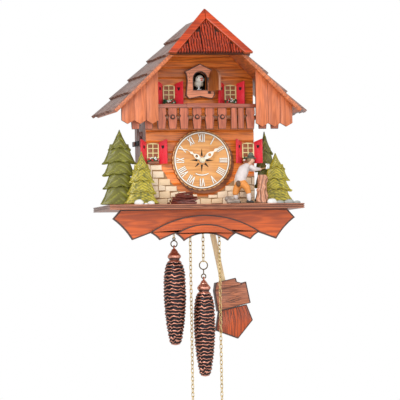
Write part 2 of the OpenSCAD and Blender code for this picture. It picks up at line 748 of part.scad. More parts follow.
module chopper_figure() {
    color("bisque") place() difference() {
        union() {
            for (s = [-1, 1]) {
                block(fig_x - 3, fig_x + 5, fig_y + 4 * s - 2.5, fig_y + 4 * s + 2.5, 0, 3);
                translate([fig_x, fig_y + 4 * s, 2]) cylinder(h = 22, r1 = 2.4, r2 = 3.6);
            }
            hull() {
                translate([fig_x - 2, fig_y, 24]) sphere(r = 6.6, $fn = 24);
                translate([shoulder[0] - 3, fig_y, shoulder[1] - 2]) sphere(r = 5.6, $fn = 24);
            }
            translate([shoulder[0] + 2.5, fig_y, shoulder[1] + 7.5]) sphere(r = 4.6);
            translate([shoulder[0] + 2.5, fig_y, shoulder[1] + 10]) cylinder(h = 1.2, r = 6.8);
            translate([shoulder[0] + 2.5, fig_y, shoulder[1] + 10]) cylinder(h = 5.5, r1 = 4.6, r2 = 3.2);
        }
        pin_y(shoulder[0], shoulder[1], fig_y + 20, fig_y - 20, shoulder_r + run_gap);
    }
}
axe = [80, 47];
module chopper_arms() {
    color("gainsboro") place() {
        pin_y(shoulder[0], shoulder[1], fig_y + 7.4, fig_y - 7.4, shoulder_r);
        for (s = [-1, 1]) difference() {
            hull() {
                translate([shoulder[0], fig_y + 7.4 * s, shoulder[1]]) sphere(r = 1.4, $fn = 16);
                translate([70, fig_y + 2.2 * s, 43]) sphere(r = 1.4, $fn = 16);
            }
            pin_y(shoulder[0], shoulder[1], fig_y + 5.4, fig_y - 5.4, 4);
        }
        translate([66, fig_y, 41.9]) rotate([0, 76, 0]) cylinder(h = 16, r = 0.9);
        block(axe[0] - 3, axe[0] + 3.4, fig_y - 1.2, fig_y + 1.2, axe[1] - 5, axe[1] + 3);
    }
}
module chopping_stump() {
    color("rosybrown") place() {
        translate([73, fig_y, 0]) cylinder(h = 36, r1 = 7.5, r2 = 5.6);
        translate([28, fig_y - 4, 3.2]) rotate([0, 90, 6]) cylinder(h = 14, r = 3.2);
        translate([30, fig_y + 5, 3.4]) rotate([0, 90, -8]) cylinder(h = 12, r = 3.2);
    }
}

// ---- movement ----
front_plate = -56.5;
rear_plate = -20.5;
motion_y = -59.4;
arbor_s = 1.2;
escape_z = pivot_z - 20;
minute_x = 12;
module gear(rp, n) {
    polygon([for (i = [0:n - 1], k = [0:3]) let (a = (i + [0, 0.25, 0.5, 0.75][k]) * 360 / n,
        r = k < 2 ? rp - 0.06 : rp - 0.8) [r * cos(a), r * sin(a)]]);
}
module movement_frame() {
    color("gold") place() {
        difference() {
            union() {
                for (y = [front_plate, rear_plate]) {
                    block(-plate_x, plate_x, y - plate_t, y, plate_z0, plate_z1);
                    for (s = [-1, 1]) block(s * (plate_x - 3) - 3, s * (plate_x - 3) + 3, y - plate_t, y, 0, plate_z0 + 1);
                }
                for (x = [-1, 1], z = [plate_z0 + 5, plate_z1 - 5])
                    pin_y(x * (plate_x - 5), z, rear_plate, front_plate, 2);
            }
            for (a = [[going_x, sprocket_z], [strike_x, sprocket_z]])
                pin_y(a[0], a[1], 0, front_plate - 5, arbor_s + run_gap);
            pin_y(0, dial_z, 0, front_plate - 5, arbor_r + run_gap);
            for (z = [escape_z, pivot_z]) pin_y(0, z, 0, front_plate - 5, arbor_s + run_gap);
            for (x = [-20, 20]) pin_y(x, 82, 0, front_plate - 5, 7);
        }
        pin_y(minute_x, dial_z, front_plate - plate_t, motion_y - 3, 0.9);
        block(-7, 7, -wall_t - 1.2, -wall_t, pivot_z - 8, pivot_z + 6);
        pin_y(0, pivot_z, -wall_t - 1.2, -15.6, arbor_s);
    }
}
module centre_arbor() {
    color("silver") place() {
        pin_y(0, dial_z, rear_plate + 2, minute_y - hand_t - 1.4, arbor_r);
        translate([0, 0, dial_z]) slab(-44, -45.4) gear(15, 60);
        pin_y(0, dial_z, front_plate - plate_t - 0.2, motion_y - 1.2, 2.94);
    }
}
module minute_wheel() {
    color("gold") place() difference() {
        translate([minute_x, 0, dial_z]) {
            slab(motion_y, motion_y - 1.2) gear(9, 36);
            slab(motion_y - 1.2, motion_y - 2.6) gear(2.36, 10);
        }
        pin_y(minute_x, dial_z, motion_y + 1, motion_y - 5, 0.9 + run_gap);
    }
}
module chain_wheel(x, y_gear, rg) {
    translate([x, 0, sprocket_z]) {
        slab(chain_y + 3.2, chain_y + 2.4) circle(r = chain_r - 1.6);
        slab(chain_y - 2.4, chain_y - 3.2) circle(r = chain_r - 1.6);
        slab(chain_y + 2.4, chain_y - 2.4) circle(r = chain_r - 3.6);
        slab(y_gear, y_gear - 1.4) gear(rg, 72);
    }
    pin_y(x, sprocket_z, rear_plate + 1.2, front_plate - plate_t - 0.6, arbor_s);
}
module going_wheel() { color("gold") place() chain_wheel(going_x, -49, 17); }
module strike_wheel() { color("gold") place() chain_wheel(strike_x, -30, 17); }
module escape_wheel() {
    n = 30;
    color("gold") place() {
        translate([0, 0, escape_z]) slab(-17.3, -18.5)
            polygon([for (i = [0:n - 1], k = [0:1]) let (a = (i + k * 0.8) * 360 / n, r = k == 0 ? 10 : 7.6)
                [r * sin(a), r * cos(a)]]);
        pin_y(0, escape_z, -17.3, front_plate - plate_t - 0.6, arbor_s);
        translate([0, 0, escape_z]) slab(-52, -54) gear(2.6, 10);
    }
}
module at_swing() { translate([0, 0, pivot_z]) rotate([0, -swing, 0]) children(); }
module anchor() {
    color("silver") place() {
        pin_y(0, pivot_z, -16, front_plate - plate_t - 0.6, arbor_s);
        at_swing() {
            slab(-17.3, -18.5) difference() {
                polygon([[0, 3.5], [5, 2.5], [13.2, -7.5], [12, -10], [9, -5], [3.5, -2.5], [0, -3], [-3.5, -2.5],
                    [-9, -5], [-12, -10], [-13.2, -7.5], [-5, 2.5]]);
                circle(r = 0.4);
            }
            translate([0, -16.2, 0]) mirror([0, 0, 1]) cylinder(h = 32, r = 0.6);
            translate([0, -16.2, -31.4]) rotate([0, 90, 0]) translate([0, 0, -stick_w / 2 - 1.2])
                cylinder(h = stick_w + 2.4, r = 0.6);
            for (s = [-1, 1]) translate([s * (stick_w / 2 + 0.9), -16.2, -31.4]) rotate([-90, 0, 0])
                cylinder(h = 4.4, r = 0.6);
        }
    }
}
stick_y = -12.9;
stick_t = 2.2;
module pendulum_stick() {
    color("burlywood") place() at_swing() slab(stick_y, stick_y - stick_t) difference() {
        translate([-stick_w / 2, -stick_l]) square([stick_w, stick_l + 5]);
        circle(r = arbor_s + run_gap);
    }
}
bob_x = -3;
bob_t = 5;
module bob_leaf() {
    w = bob_w / 2;
    polygon([[-w * 0.84, 0], [-w * 1.1, -20], [-w * 0.1, -39], [w * 1.04, -19.5], [w * 0.84, 0]]);
}
module pendulum_bob() {
    w = bob_w / 2;
    y = stick_y - stick_t;
    color("sienna") place() at_swing() rotate([0, -2, 0]) translate([bob_x, 0, 0]) {
        translate([0, 0, -229]) slab(y, y - bob_t) bob_leaf();
        translate([0, 0, -203]) slab(y - bob_t, y - bob_t - 2.6) polygon([[-w, 0], [-w, -28], [w, -28], [w, 0]]);
        translate([0, 0, -203]) slab(y, y - bob_t - 4) polygon([[-w, 0], [w, 0], [w * 0.45, 9], [-w * 0.8, 9]]);
        translate([0, 0, -203]) slab(y, y - bob_t) polygon([[-w, 0], [-w, -28], [w, -28], [w, 0]]);
    }
}

// ---- bellows, gong and hammer ----
bell_x = 47;
bell_w = 15;
bell_y0 = -14;
bell_y1 = -44;
bell_z = 100;
lid_t = 2.5;
lid_r = 1;
module bellows_boxes() {
    color("tan") place() both() {
        difference() {
            block(bell_x, bell_x + bell_w, bell_y1, bell_y0, 0, bell_z);
            block(bell_x + 2, bell_x + bell_w - 2, bell_y1 + 2, bell_y0 - 2, 3, bell_z - 4);
            block(bell_x + 3, bell_x + bell_w + 1, bell_y1 + 10, bell_y0 - 10, 70, 76);
        }
        for (x = [bell_x, bell_x + bell_w - 2]) block(x, x + 2, bell_y0 - 2, bell_y0 + 2, bell_z, bell_z + 3);
        translate([bell_x, bell_y0, bell_z + 1.8]) rotate([0, 90, 0]) cylinder(h = bell_w, r = lid_r);
    }
}
module bellows_lid() {
    difference() {
        union() {
            block(bell_x + 2.3, bell_x + bell_w - 2.3, bell_y1, bell_y0, bell_z + 0.5, bell_z + 0.5 + lid_t);
            translate([bell_x + 2.3, bell_y0, bell_z + 1.8]) rotate([0, 90, 0])
                cylinder(h = bell_w - 4.6, r = lid_r + 0.9);
        }
        translate([bell_x, bell_y0, bell_z + 1.8]) rotate([0, 90, 0]) cylinder(h = bell_w, r = lid_r + run_gap);
        block(bell_x, bell_x + bell_w, bell_y0 - 3, bell_y0 + 3, bell_z - 1, bell_z + 0.3);
    }
}
module bellows_lid_right() { color("white") place() bellows_lid(); }
module bellows_lid_left() { color("white") place() mirror([1, 0, 0]) bellows_lid(); }
gong_z = 45;
gong_y = -8;
gong_n = 6;
module half_ring(r, wire) { rotate_extrude(angle = 180) translate([r, 0]) circle(r = wire); }
module gong() {
    // a flat coil of half rings whose centres step from side to side
    color("steelblue") place() {
        for (i = [0:gong_n - 1]) translate([i % 2 == 0 ? 0 : 1.5, gong_y, gong_z])
            rotate([90, 0, 0]) rotate([0, 0, i % 2 == 0 ? 0 : 180]) half_ring(8 + 1.5 * i, 0.8);
        pin_y(8 + 1.5 * gong_n - 1.5, gong_z, -wall_t, gong_y, 0.8);
        pin_y(-8, gong_z, -wall_t, gong_y, 0.8);
    }
}
hammer = [33, 74];
module gong_hammer() {
    color("silver") place() {
        pin_y(hammer[0], hammer[1], gong_y + 1.5, rear_plate + 0.2, 1.2);
        translate([hammer[0], 0, hammer[1]]) rotate([0, 24, 0]) {
            slab(gong_y + 1, gong_y - 1) translate([-1.2, -24]) square([2.4, 24]);
            pin_y(0, -26, gong_y + 2, gong_y - 2, 3);
        }
    }
}

// ---- chains and weights ----
link_r = 1.55;
link_s = link_p + 0.06 + 2 * wire_r - 2 * link_r;
module link() {
    for (s = [0, 180]) rotate([0, s, 0]) translate([0, 0, link_s / 2]) rotate([90, 0, 0])
        rotate_extrude(angle = 180, $fn = 24) translate([link_r, 0]) circle(r = wire_r, $fn = 16);
    for (s = [-1, 1]) translate([s * link_r, 0, -link_s / 2]) cylinder(h = link_s, r = wire_r, $fn = 16);
}
module strand(x, z, n) {
    // n links hanging down from z
    for (i = [0:n - 1]) translate([x, chain_y, z - (i + 0.5) * link_p]) rotate([0, 0, i % 2 * 90 + 45]) link();
}
module ring(r, wire) { rotate([90, 0, 0]) rotate_extrude() translate([r, 0]) circle(r = wire); }
eye_r = 2.2;
eye_wire = 0.8;
eye_drop = 2.6;
// links between a chain wheel and the top ring of a hook
function links_above(top, r_top, r_low, neck) =
    floor((sprocket_z - top - 2 * r_top - 2 * r_low + eye_drop - neck) / link_p);
module load_chain(x, top, r_top, r_low, neck, up, wire) {
    // the links, a ring under them, a neck, and the ring that the cone's eye hangs in
    n = links_above(top, r_top, r_low, neck);
    hang = sprocket_z - n * link_p;
    low = top - eye_drop;
    strand(x, sprocket_z + up * link_p, n + up);
    translate([x, chain_y, hang + 0.3 - r_top]) ring(r_top, wire);
    translate([x, chain_y, low + r_low]) ring(r_low, wire);
    translate([x, chain_y, low + 2 * r_low]) cylinder(h = hang + 0.3 - 2 * r_top - low - 2 * r_low, r = wire);
}
module going_chain_load() {
    color("gold") place() load_chain(going_x - chain_r, going_top, 1.5, 4, 0.6, spare_links, 0.7);
}
module strike_chain_load() {
    color("gold") place() load_chain(strike_x - chain_r, strike_top, 5.2, 2.8, 5.6, spare_links, 0.7);
}
module free_chain(x) {
    strand(x, sprocket_z, free_links);
    translate([x, chain_y, sprocket_z - free_links * link_p - 7])
        rotate([0, 0, 90]) ring(7, 0.9);
}
module going_chain_free() { color("gold") place() free_chain(going_x + chain_r); }
module strike_chain_free() { color("gold") place() free_chain(strike_x + chain_r); }
module cone(x, top) {
    body = top - 8;
    translate([x, chain_y, 0]) {
        rotate_extrude() polygon([[0, body], [5.5, body - 1], [7, body - 4], [5.6, body - 8], [8.5, body - 14],
            [cone_r - 1.4, body - 30], [cone_r, body - 52], [cone_r - 0.6, body - 74], [cone_r - 3.4, body - 100],
            [6.5, top - cone_l], [0, top - cone_l]]);
        translate([0, 0, top - eye_wire - eye_r]) rotate([0, 0, 90]) ring(eye_r, eye_wire);
        translate([0, 0, body - 0.5]) cylinder(h = top - 2 * eye_r - eye_wire - body + 0.3, r = 1.3);
    }
}
module going_cone() { color("sienna") place() cone(going_x - chain_r, going_top); }
module strike_cone() { color("sienna") place() cone(strike_x - chain_r, strike_top); }

back_panel();
side_frame_left();
side_panel_right();
front_wall();
shelf();
roof_board_left();
roof_board_right();
shingles_left();
shingles_right();
hip_panel();
barge_boards();
plank_screens();
balcony_floor();
balcony_rail();
balusters();
window_frames();
shutters();
flower_boxes();
cuckoo_plate();
dial_backing();
dial_disc();
dial_numerals();
apron_outer();
apron_middle();
apron_inner();
firs_left();
firs_right();
pebbles();
stone_wall();
wood_pile();
chopper_figure();
chopping_stump();
movement_frame();
bellows_boxes();
gong();
side_door();
side_latch();
cuckoo_door();
cuckoo_bird();
bellows_lid_left();
bellows_lid_right();
gong_hammer();
chopper_arms();
centre_arbor();
minute_hand();
hand_nut();
hour_hand();
minute_wheel();
going_wheel();
strike_wheel();
escape_wheel();
anchor();
pendulum_stick();
pendulum_bob();
going_cone();
strike_cone();
going_chain_load();
going_chain_free();
strike_chain_load();
strike_chain_free();
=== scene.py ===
"""Looks of a chalet cuckoo clock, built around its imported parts."""

import json
import math
import random

import bmesh
import bpy
from mathutils import Matrix, Vector, noise


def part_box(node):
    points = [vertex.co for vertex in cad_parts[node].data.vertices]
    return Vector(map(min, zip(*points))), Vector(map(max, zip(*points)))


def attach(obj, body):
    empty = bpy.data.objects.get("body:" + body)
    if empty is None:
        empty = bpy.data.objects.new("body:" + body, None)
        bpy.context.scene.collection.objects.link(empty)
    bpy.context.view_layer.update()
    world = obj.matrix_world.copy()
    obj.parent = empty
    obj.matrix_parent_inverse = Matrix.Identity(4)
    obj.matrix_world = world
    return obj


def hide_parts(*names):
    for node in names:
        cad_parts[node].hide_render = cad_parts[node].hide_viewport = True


bl_info = {
    "name": "Chalet Cuckoo Clock",
    "version": (1, 0, 0),
    "blender": (4, 5, 0),
    "location": "View3D > Sidebar > Cuckoo Clock",
    "description": "Builds the carved, painted and metal pieces of a chalet cuckoo clock",
    "category": "Object",
}

MM = 0.001
HOLE_HEIGHT = 190.0
FRONT = -68.0
RIDGE = 225.0
LOGS = 17
CHAIN_Y = -40.0
CHOPPER_Y = -91.0
MERGE = 2e-6

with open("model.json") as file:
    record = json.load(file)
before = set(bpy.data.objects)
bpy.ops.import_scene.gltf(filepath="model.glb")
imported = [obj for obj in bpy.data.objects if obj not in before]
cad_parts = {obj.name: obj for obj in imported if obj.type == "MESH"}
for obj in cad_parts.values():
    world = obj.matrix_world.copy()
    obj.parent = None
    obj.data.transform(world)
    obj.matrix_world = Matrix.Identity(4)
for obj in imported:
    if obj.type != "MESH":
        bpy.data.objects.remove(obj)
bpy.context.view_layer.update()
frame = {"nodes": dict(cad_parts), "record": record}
NODES = frame["nodes"]
BODY_OF = {n: b for b, names in frame["record"]["behaviour"]["bodies"].items() for n in names}
SLOT_OF = {s["node"]: s["material_slot"] for s in frame["record"]["subparts"]}


def at(x, y, z):
    """A point given in millimetres from the wall and the shelf's top."""
    return Vector((x * MM, y * MM, (z - HOLE_HEIGHT) * MM))


# ---- settings -------------------------------------------------------------


def colour(name, description, value):
    return bpy.props.FloatVectorProperty(
        name=name, description=description, subtype="COLOR", size=3, min=0, max=1, default=value
    )


class CuckooWoodSettings(bpy.types.PropertyGroup):
    """Colours of the stained woods."""

    cabinet: colour("Cabinet", "Stain of the balcony floor, flower boxes and dial backing",
    (0.35, 0.115, 0.035))
    logs: colour("Logs", "Stain of the log walls", (0.88, 0.235, 0.028))
    barge: colour("Barge boards", "Stain of the half-hip's barge boards", (0.58, 0.055, 0.001))
    shingles: colour("Shingles", "Stain of the roof shingles", (0.36, 0.21, 0.17))
    planks: colour("Screens", "Stain of the plank screens", (0.66, 0.18, 0.056))
    balusters: colour("Balusters", "Stain of the balcony's balusters", (0.54, 0.145, 0.068))
    door: colour("Door", "Stain of the cuckoo door", (0.42, 0.13, 0.025))
    dial: colour("Dial", "Light lacquer of the dial", (0.72, 0.35, 0.10))
    pine: colour("Pine", "Raw wood of the pendulum lath", (0.95, 0.74, 0.42))


class CuckooPaintSettings(bpy.types.PropertyGroup):
    """Colours of the painted and moulded pieces."""

    shutters: colour("Shutters", "Red of the shutters", (0.90, 0.030, 0.055))
    lattice: colour("Lattice", "Cream of the window lattices", (0.86, 0.70, 0.32))
    ivory: colour("Ivory", "Ivory of the hands and numerals", (0.86, 0.80, 0.68))
    fir_dark: colour("Dark fir", "Green of the tall firs", (0.11, 0.105, 0.008))
    fir_light: colour("Light fir", "Green of the small firs", (0.55, 0.44, 0.03))
    stones: colour("Stones", "Cream of the wall stones", (0.93, 0.73, 0.52))
    copper: colour("Cones", "Bronze of the cone weights", (0.88, 0.40, 0.29))
    brass: colour("Brass", "Brass of the chains and wheels", (0.76, 0.58, 0.28))


class CuckooSizeSettings(bpy.types.PropertyGroup):
    """Sizes of the carved details."""

    edge: bpy.props.FloatProperty(
        name="Edge", description="Rounding of sawn edges", default=0.35 * MM, min=0,
        unit="LENGTH", subtype="DISTANCE"
    )
    scale_rows: bpy.props.IntProperty(
        name="Scale rows", description="Rows of scales on a cone weight", default=24, min=8, max=40
    )
    thatch: bpy.props.IntProperty(
        name="Thatch reeds", description="Reeds across the half-hip", default=30, min=8, max=60
    )


def woods():
    return bpy.context.scene.cuckoo_woods


def paints():
    return bpy.context.scene.cuckoo_paints


def sizes():
    return bpy.context.scene.cuckoo_sizes


# ---- shader node groups -----------------------------------------------------


def new_group(name, inputs, outputs):
    """An empty shader group; sockets are (name, kind, default)."""
    tree = bpy.data.node_groups.new(name, "ShaderNodeTree")
    for label, kind, default in inputs:
        socket = tree.interface.new_socket(name=label, in_out="INPUT", socket_type="NodeSocket" + kind)
        if default is not None:
            socket.default_value = default
    for label, kind in outputs:
        tree.interface.new_socket(name=label, in_out="OUTPUT", socket_type="NodeSocket" + kind)
    return tree, tree.nodes.new("NodeGroupInput"), tree.nodes.new("NodeGroupOutput")


def add(tree, kind, **values):
    """Adds a node; values name its properties, or its inputs when they start with in_."""
    node = tree.nodes.new(kind)
    for key, value in values.items():
        if key.startswith("in_"):
            node.inputs[key[3:].replace("_", " ")].default_value = value
        else:
            setattr(node, key, value)
    return node


def math_node(tree, operation, a, b=None, clamp=False):
    node = add(tree, "ShaderNodeMath", operation=operation, use_clamp=clamp)
    for index, value in enumerate((a, b)):
        if value is None:
            continue
        if isinstance(value, (int, float)):
            node.inputs[index].default_value = value
        else:
            tree.links.new(value, node.inputs[index])
    return node.outputs[0]


def mix_colour(tree, factor, a, b, blend="MIX"):
    node = add(tree, "ShaderNodeMix", data_type="RGBA", blend_type=blend)
    for socket, value in ((node.inputs[0], factor), (node.inputs[6], a), (node.inputs[7], b)):
        if isinstance(value, bpy.types.NodeSocket):
            tree.links.new(value, socket)
        else:
            socket.default_value = value
    return node.outputs[2]


def ramp(tree, value, stops):
    node = add(tree, "ShaderNodeValToRGB")
    bar = node.color_ramp
    while len(bar.elements) < len(stops):
        bar.elements.new(0.5)
    for element, (place, shade) in zip(bar.elements, stops):
        element.position = place
        element.color = shade if isinstance(shade, tuple) else (shade, shade, shade, 1)
    tree.links.new(value, node.inputs[0])
    return node.outputs[0]


def grain_group():
    """Wood grain that runs along the X of the vector it is given, in metres."""
    name = "Wood Grain"
    if name in bpy.data.node_groups:
        return bpy.data.node_groups[name]
    tree, gi, go = new_group(
        name,
        [("Vector", "Vector", None), ("Light", "Color", (0.5, 0.2, 0.1, 1)),
        ("Dark", "Color", (0.2, 0.1, 0.05, 1)),
         ("Fineness", "Float", 1.0), ("Blotch", "Float", 0.3)],
        [("Color", "Color"), ("Height", "Float"), ("Roughness", "Float")],
    )
    stretch = add(tree, "ShaderNodeMapping")
    stretch.inputs["Scale"].default_value = (0.07, 1, 1)
    tree.links.new(gi.outputs["Vector"], stretch.inputs["Vector"])
    fine = math_node(tree, "MULTIPLY", gi.outputs["Fineness"], 900.0)
    fibres = add(tree, "ShaderNodeTexNoise", in_Detail=5.0, in_Roughness=0.62)
    tree.links.new(stretch.outputs[0], fibres.inputs["Vector"])
    tree.links.new(fine, fibres.inputs["Scale"])
    coarse = math_node(tree, "MULTIPLY", gi.outputs["Fineness"], 170.0)
    rings = add(tree, "ShaderNodeTexNoise", in_Detail=2.0, in_Distortion=0.6)
    tree.links.new(stretch.outputs[0], rings.inputs["Vector"])
    tree.links.new(coarse, rings.inputs["Scale"])
    bands = math_node(tree, "SINE", math_node(tree, "MULTIPLY", rings.outputs[0], 34.0))
    bands = math_node(tree, "MULTIPLY", math_node(tree, "ADD", bands, 1.0), 0.5)
    cloud = add(tree, "ShaderNodeTexNoise", in_Scale=38.0, in_Detail=2.0)
    tree.links.new(gi.outputs["Vector"], cloud.inputs["Vector"])
    blotch = ramp(tree, cloud.outputs[0], [(0.35, 0.0), (0.7, 1.0)])
    share = math_node(tree, "MULTIPLY", bands, 0.35)
    share = math_node(tree, "ADD", share, math_node(tree, "MULTIPLY", fibres.outputs[0], 0.65))
    share = ramp(tree, share, [(0.28, 0.0), (0.72, 1.0)])
    colour_out = mix_colour(tree, share, gi.outputs["Dark"], gi.outputs["Light"])
    patch = math_node(tree, "MULTIPLY", blotch, gi.outputs["Blotch"])
    colour_out = mix_colour(tree, patch, colour_out, gi.outputs["Dark"])
    tree.links.new(colour_out, go.inputs["Color"])
    tree.links.new(share, go.inputs["Height"])
    rough = math_node(tree, "ADD", math_node(tree, "MULTIPLY", fibres.outputs[0], 0.22), 0.27)
    tree.links.new(rough, go.inputs["Roughness"])
    return tree


def shade_and_highlight_group():
    """Painted shade that darkens hollows, and a painted highlight that lightens sharp edges."""
    name = "Hollow And Edge"
    if name in bpy.data.node_groups:
        return bpy.data.node_groups[name]
    tree, gi, go = new_group(
        name,
        [("Color", "Color", (0.5, 0.2, 0.1, 1)), ("Hollow Color", "Color", (0.02, 0.01, 0.005, 1)),
         ("Edge Color", "Color", (0.8, 0.5, 0.3, 1)), ("Hollow", "Float", 0.6), ("Edge", "Float", 0.2)],
        [("Color", "Color")],
    )
    point = add(tree, "ShaderNodeNewGeometry")
    deep = ramp(tree, point.outputs["Pointiness"], [(0.40, 1.0), (0.485, 0.0)])
    high = ramp(tree, point.outputs["Pointiness"], [(0.52, 0.0), (0.62, 1.0)])
    out = mix_colour(tree, math_node(tree, "MULTIPLY", deep, gi.outputs["Hollow"]),
                     gi.outputs["Color"], gi.outputs["Hollow Color"])
    out = mix_colour(tree, math_node(tree, "MULTIPLY", high, gi.outputs["Edge"]), out,
        gi.outputs["Edge Color"])
    tree.links.new(out, go.inputs["Color"])
    return tree


def speckle_group():
    """Fine unevenness of paint, moulded plastic or cast metal."""
    name = "Surface Speckle"
    if name in bpy.data.node_groups:
        return bpy.data.node_groups[name]
    tree, gi, go = new_group(
        name,
        [("Vector", "Vector", None), ("Color", "Color", (0.5, 0.5, 0.5, 1)),
        ("Tint", "Color", (0.3, 0.3, 0.3, 1)),
         ("Amount", "Float", 0.3), ("Scale", "Float", 200.0), ("Roughness", "Float", 0.4)],
        [("Color", "Color"), ("Height", "Float"), ("Roughness", "Float")],
    )
    fine = add(tree, "ShaderNodeTexNoise", in_Detail=4.0, in_Roughness=0.6)
    tree.links.new(gi.outputs["Vector"], fine.inputs["Vector"])
    tree.links.new(gi.outputs["Scale"], fine.inputs["Scale"])
    mask = ramp(tree, fine.outputs[0], [(0.35, 0.0), (0.68, 1.0)])
    out = mix_colour(tree, math_node(tree, "MULTIPLY", mask, gi.outputs["Amount"]),
                     gi.outputs["Color"], gi.outputs["Tint"])
    tree.links.new(out, go.inputs["Color"])
    tree.links.new(fine.outputs[0], go.inputs["Height"])
    wave = math_node(tree, "MULTIPLY", math_node(tree, "SUBTRACT", fine.outputs[0], 0.5), 0.3)
    tree.links.new(math_node(tree, "ADD", gi.outputs["Roughness"], wave, clamp=True), go.inputs["Roughness"])
    return tree


# ---- materials --------------------------------------------------------------


def rgba(value, gain=1.0):
    return (value[0] * gain, value[1] * gain, value[2] * gain, 1.0)


def place_group(tree, group, **values):
    node = tree.nodes.new("ShaderNodeGroup")
    node.node_tree = group
    for key, value in values.items():
        node.inputs[key.replace("_", " ")].default_value = value
    return node


def start_material(name, turn=(0, 0, 0)):
    material = bpy.data.materials.new(name)
    material.use_nodes = True
    tree = material.node_tree
    shader = tree.nodes["Principled BSDF"]
    coords = add(tree, "ShaderNodeTexCoord")
    mapping = add(tree, "ShaderNodeMapping")
    mapping.inputs["Rotation"].default_value = turn
    tree.links.new(coords.outputs["Object"], mapping.inputs["Vector"])
    return material, tree, shader, mapping.outputs[0]


def bump(tree, shader, height, strength, distance):
    node = add(tree, "ShaderNodeBump")
    node.inputs["Strength"].default_value = strength
    node.inputs["Distance"].default_value = distance
    tree.links.new(height, node.inputs["Height"])
    tree.links.new(node.outputs[0], shader.inputs["Normal"])


TURNS = {"x": (0, 0, 0), "y": (0, 0, math.pi / 2), "z": (0, math.pi / 2, 0)}


def wood(name, shade, along="x", fineness=1.0, dark=0.45, blotch=0.3, coat=0.25, relief=0.12, hollow=0.75,
        edge=0.15):
    """Stained and lacquered wood, its grain along x, y or z."""
    if name in bpy.data.materials:
        return bpy.data.materials[name]
    material, tree, shader, vector = start_material(name, TURNS[along])
    deep = (shade[0] * dark, shade[1] * dark * 0.85, shade[2] * dark * 0.8, 1)
    grain = place_group(tree, grain_group(), Light=rgba(shade, 1.12), Dark=deep, Fineness=fineness,
        Blotch=blotch)
    tree.links.new(vector, grain.inputs["Vector"])
    # painted shade in the hollows and a painted highlight on the sharp edges
    painted_shading = place_group(tree, shade_and_highlight_group(), Hollow=hollow, Edge=edge,
                        Hollow_Color=(shade[0] * 0.06, shade[1] * 0.05, shade[2] * 0.05, 1),
                        Edge_Color=rgba([min(1, c * 1.5 + 0.03) for c in shade]))
    tree.links.new(grain.outputs["Color"], painted_shading.inputs["Color"])
    tree.links.new(painted_shading.outputs["Color"], shader.inputs["Base Color"])
    tree.links.new(grain.outputs["Roughness"], shader.inputs["Roughness"])
    shader.inputs["Coat Weight"].default_value = coat
    shader.inputs["Coat Roughness"].default_value = 0.28
    bump(tree, shader, grain.outputs["Height"], relief, 0.0004)
    return material


def paint(name, shade, rough=0.35, coat=0.0, amount=0.25, scale=260.0, tint=0.6, relief=0.08, metallic=0.0,
          hollow=0.35, edge=0.1, hollow_shade=None, edge_shade=None):
    """Paint, moulded plastic or metal with fine unevenness, painted shade in its hollows and a painted
    highlight on its edges.
    """
    if name in bpy.data.materials:
        return bpy.data.materials[name]
    material, tree, shader, vector = start_material(name)
    speckle = place_group(tree, speckle_group(), Color=rgba(shade), Tint=rgba(shade, tint), Amount=amount,
                          Scale=scale, Roughness=rough)
    tree.links.new(vector, speckle.inputs["Vector"])
    # painted shade in the hollows and a painted highlight on the sharp edges
    painted_shading = place_group(tree, shade_and_highlight_group(), Hollow=hollow, Edge=edge,
                        Hollow_Color=rgba(hollow_shade or shade, 1.0 if hollow_shade else 0.15),
                        Edge_Color=rgba(edge_shade or [min(1, c * 1.4 + 0.04) for c in shade]))
    tree.links.new(speckle.outputs["Color"], painted_shading.inputs["Color"])
    tree.links.new(painted_shading.outputs["Color"], shader.inputs["Base Color"])
    tree.links.new(speckle.outputs["Roughness"], shader.inputs["Roughness"])
    shader.inputs["Metallic"].default_value = metallic
    shader.inputs["Coat Weight"].default_value = coat
    bump(tree, shader, speckle.outputs["Height"], relief, 0.0003)
    return material


def metal(name, shade, rough, amount=0.3, **values):
    return paint(name, shade, rough=rough, metallic=1.0, amount=amount, **values)


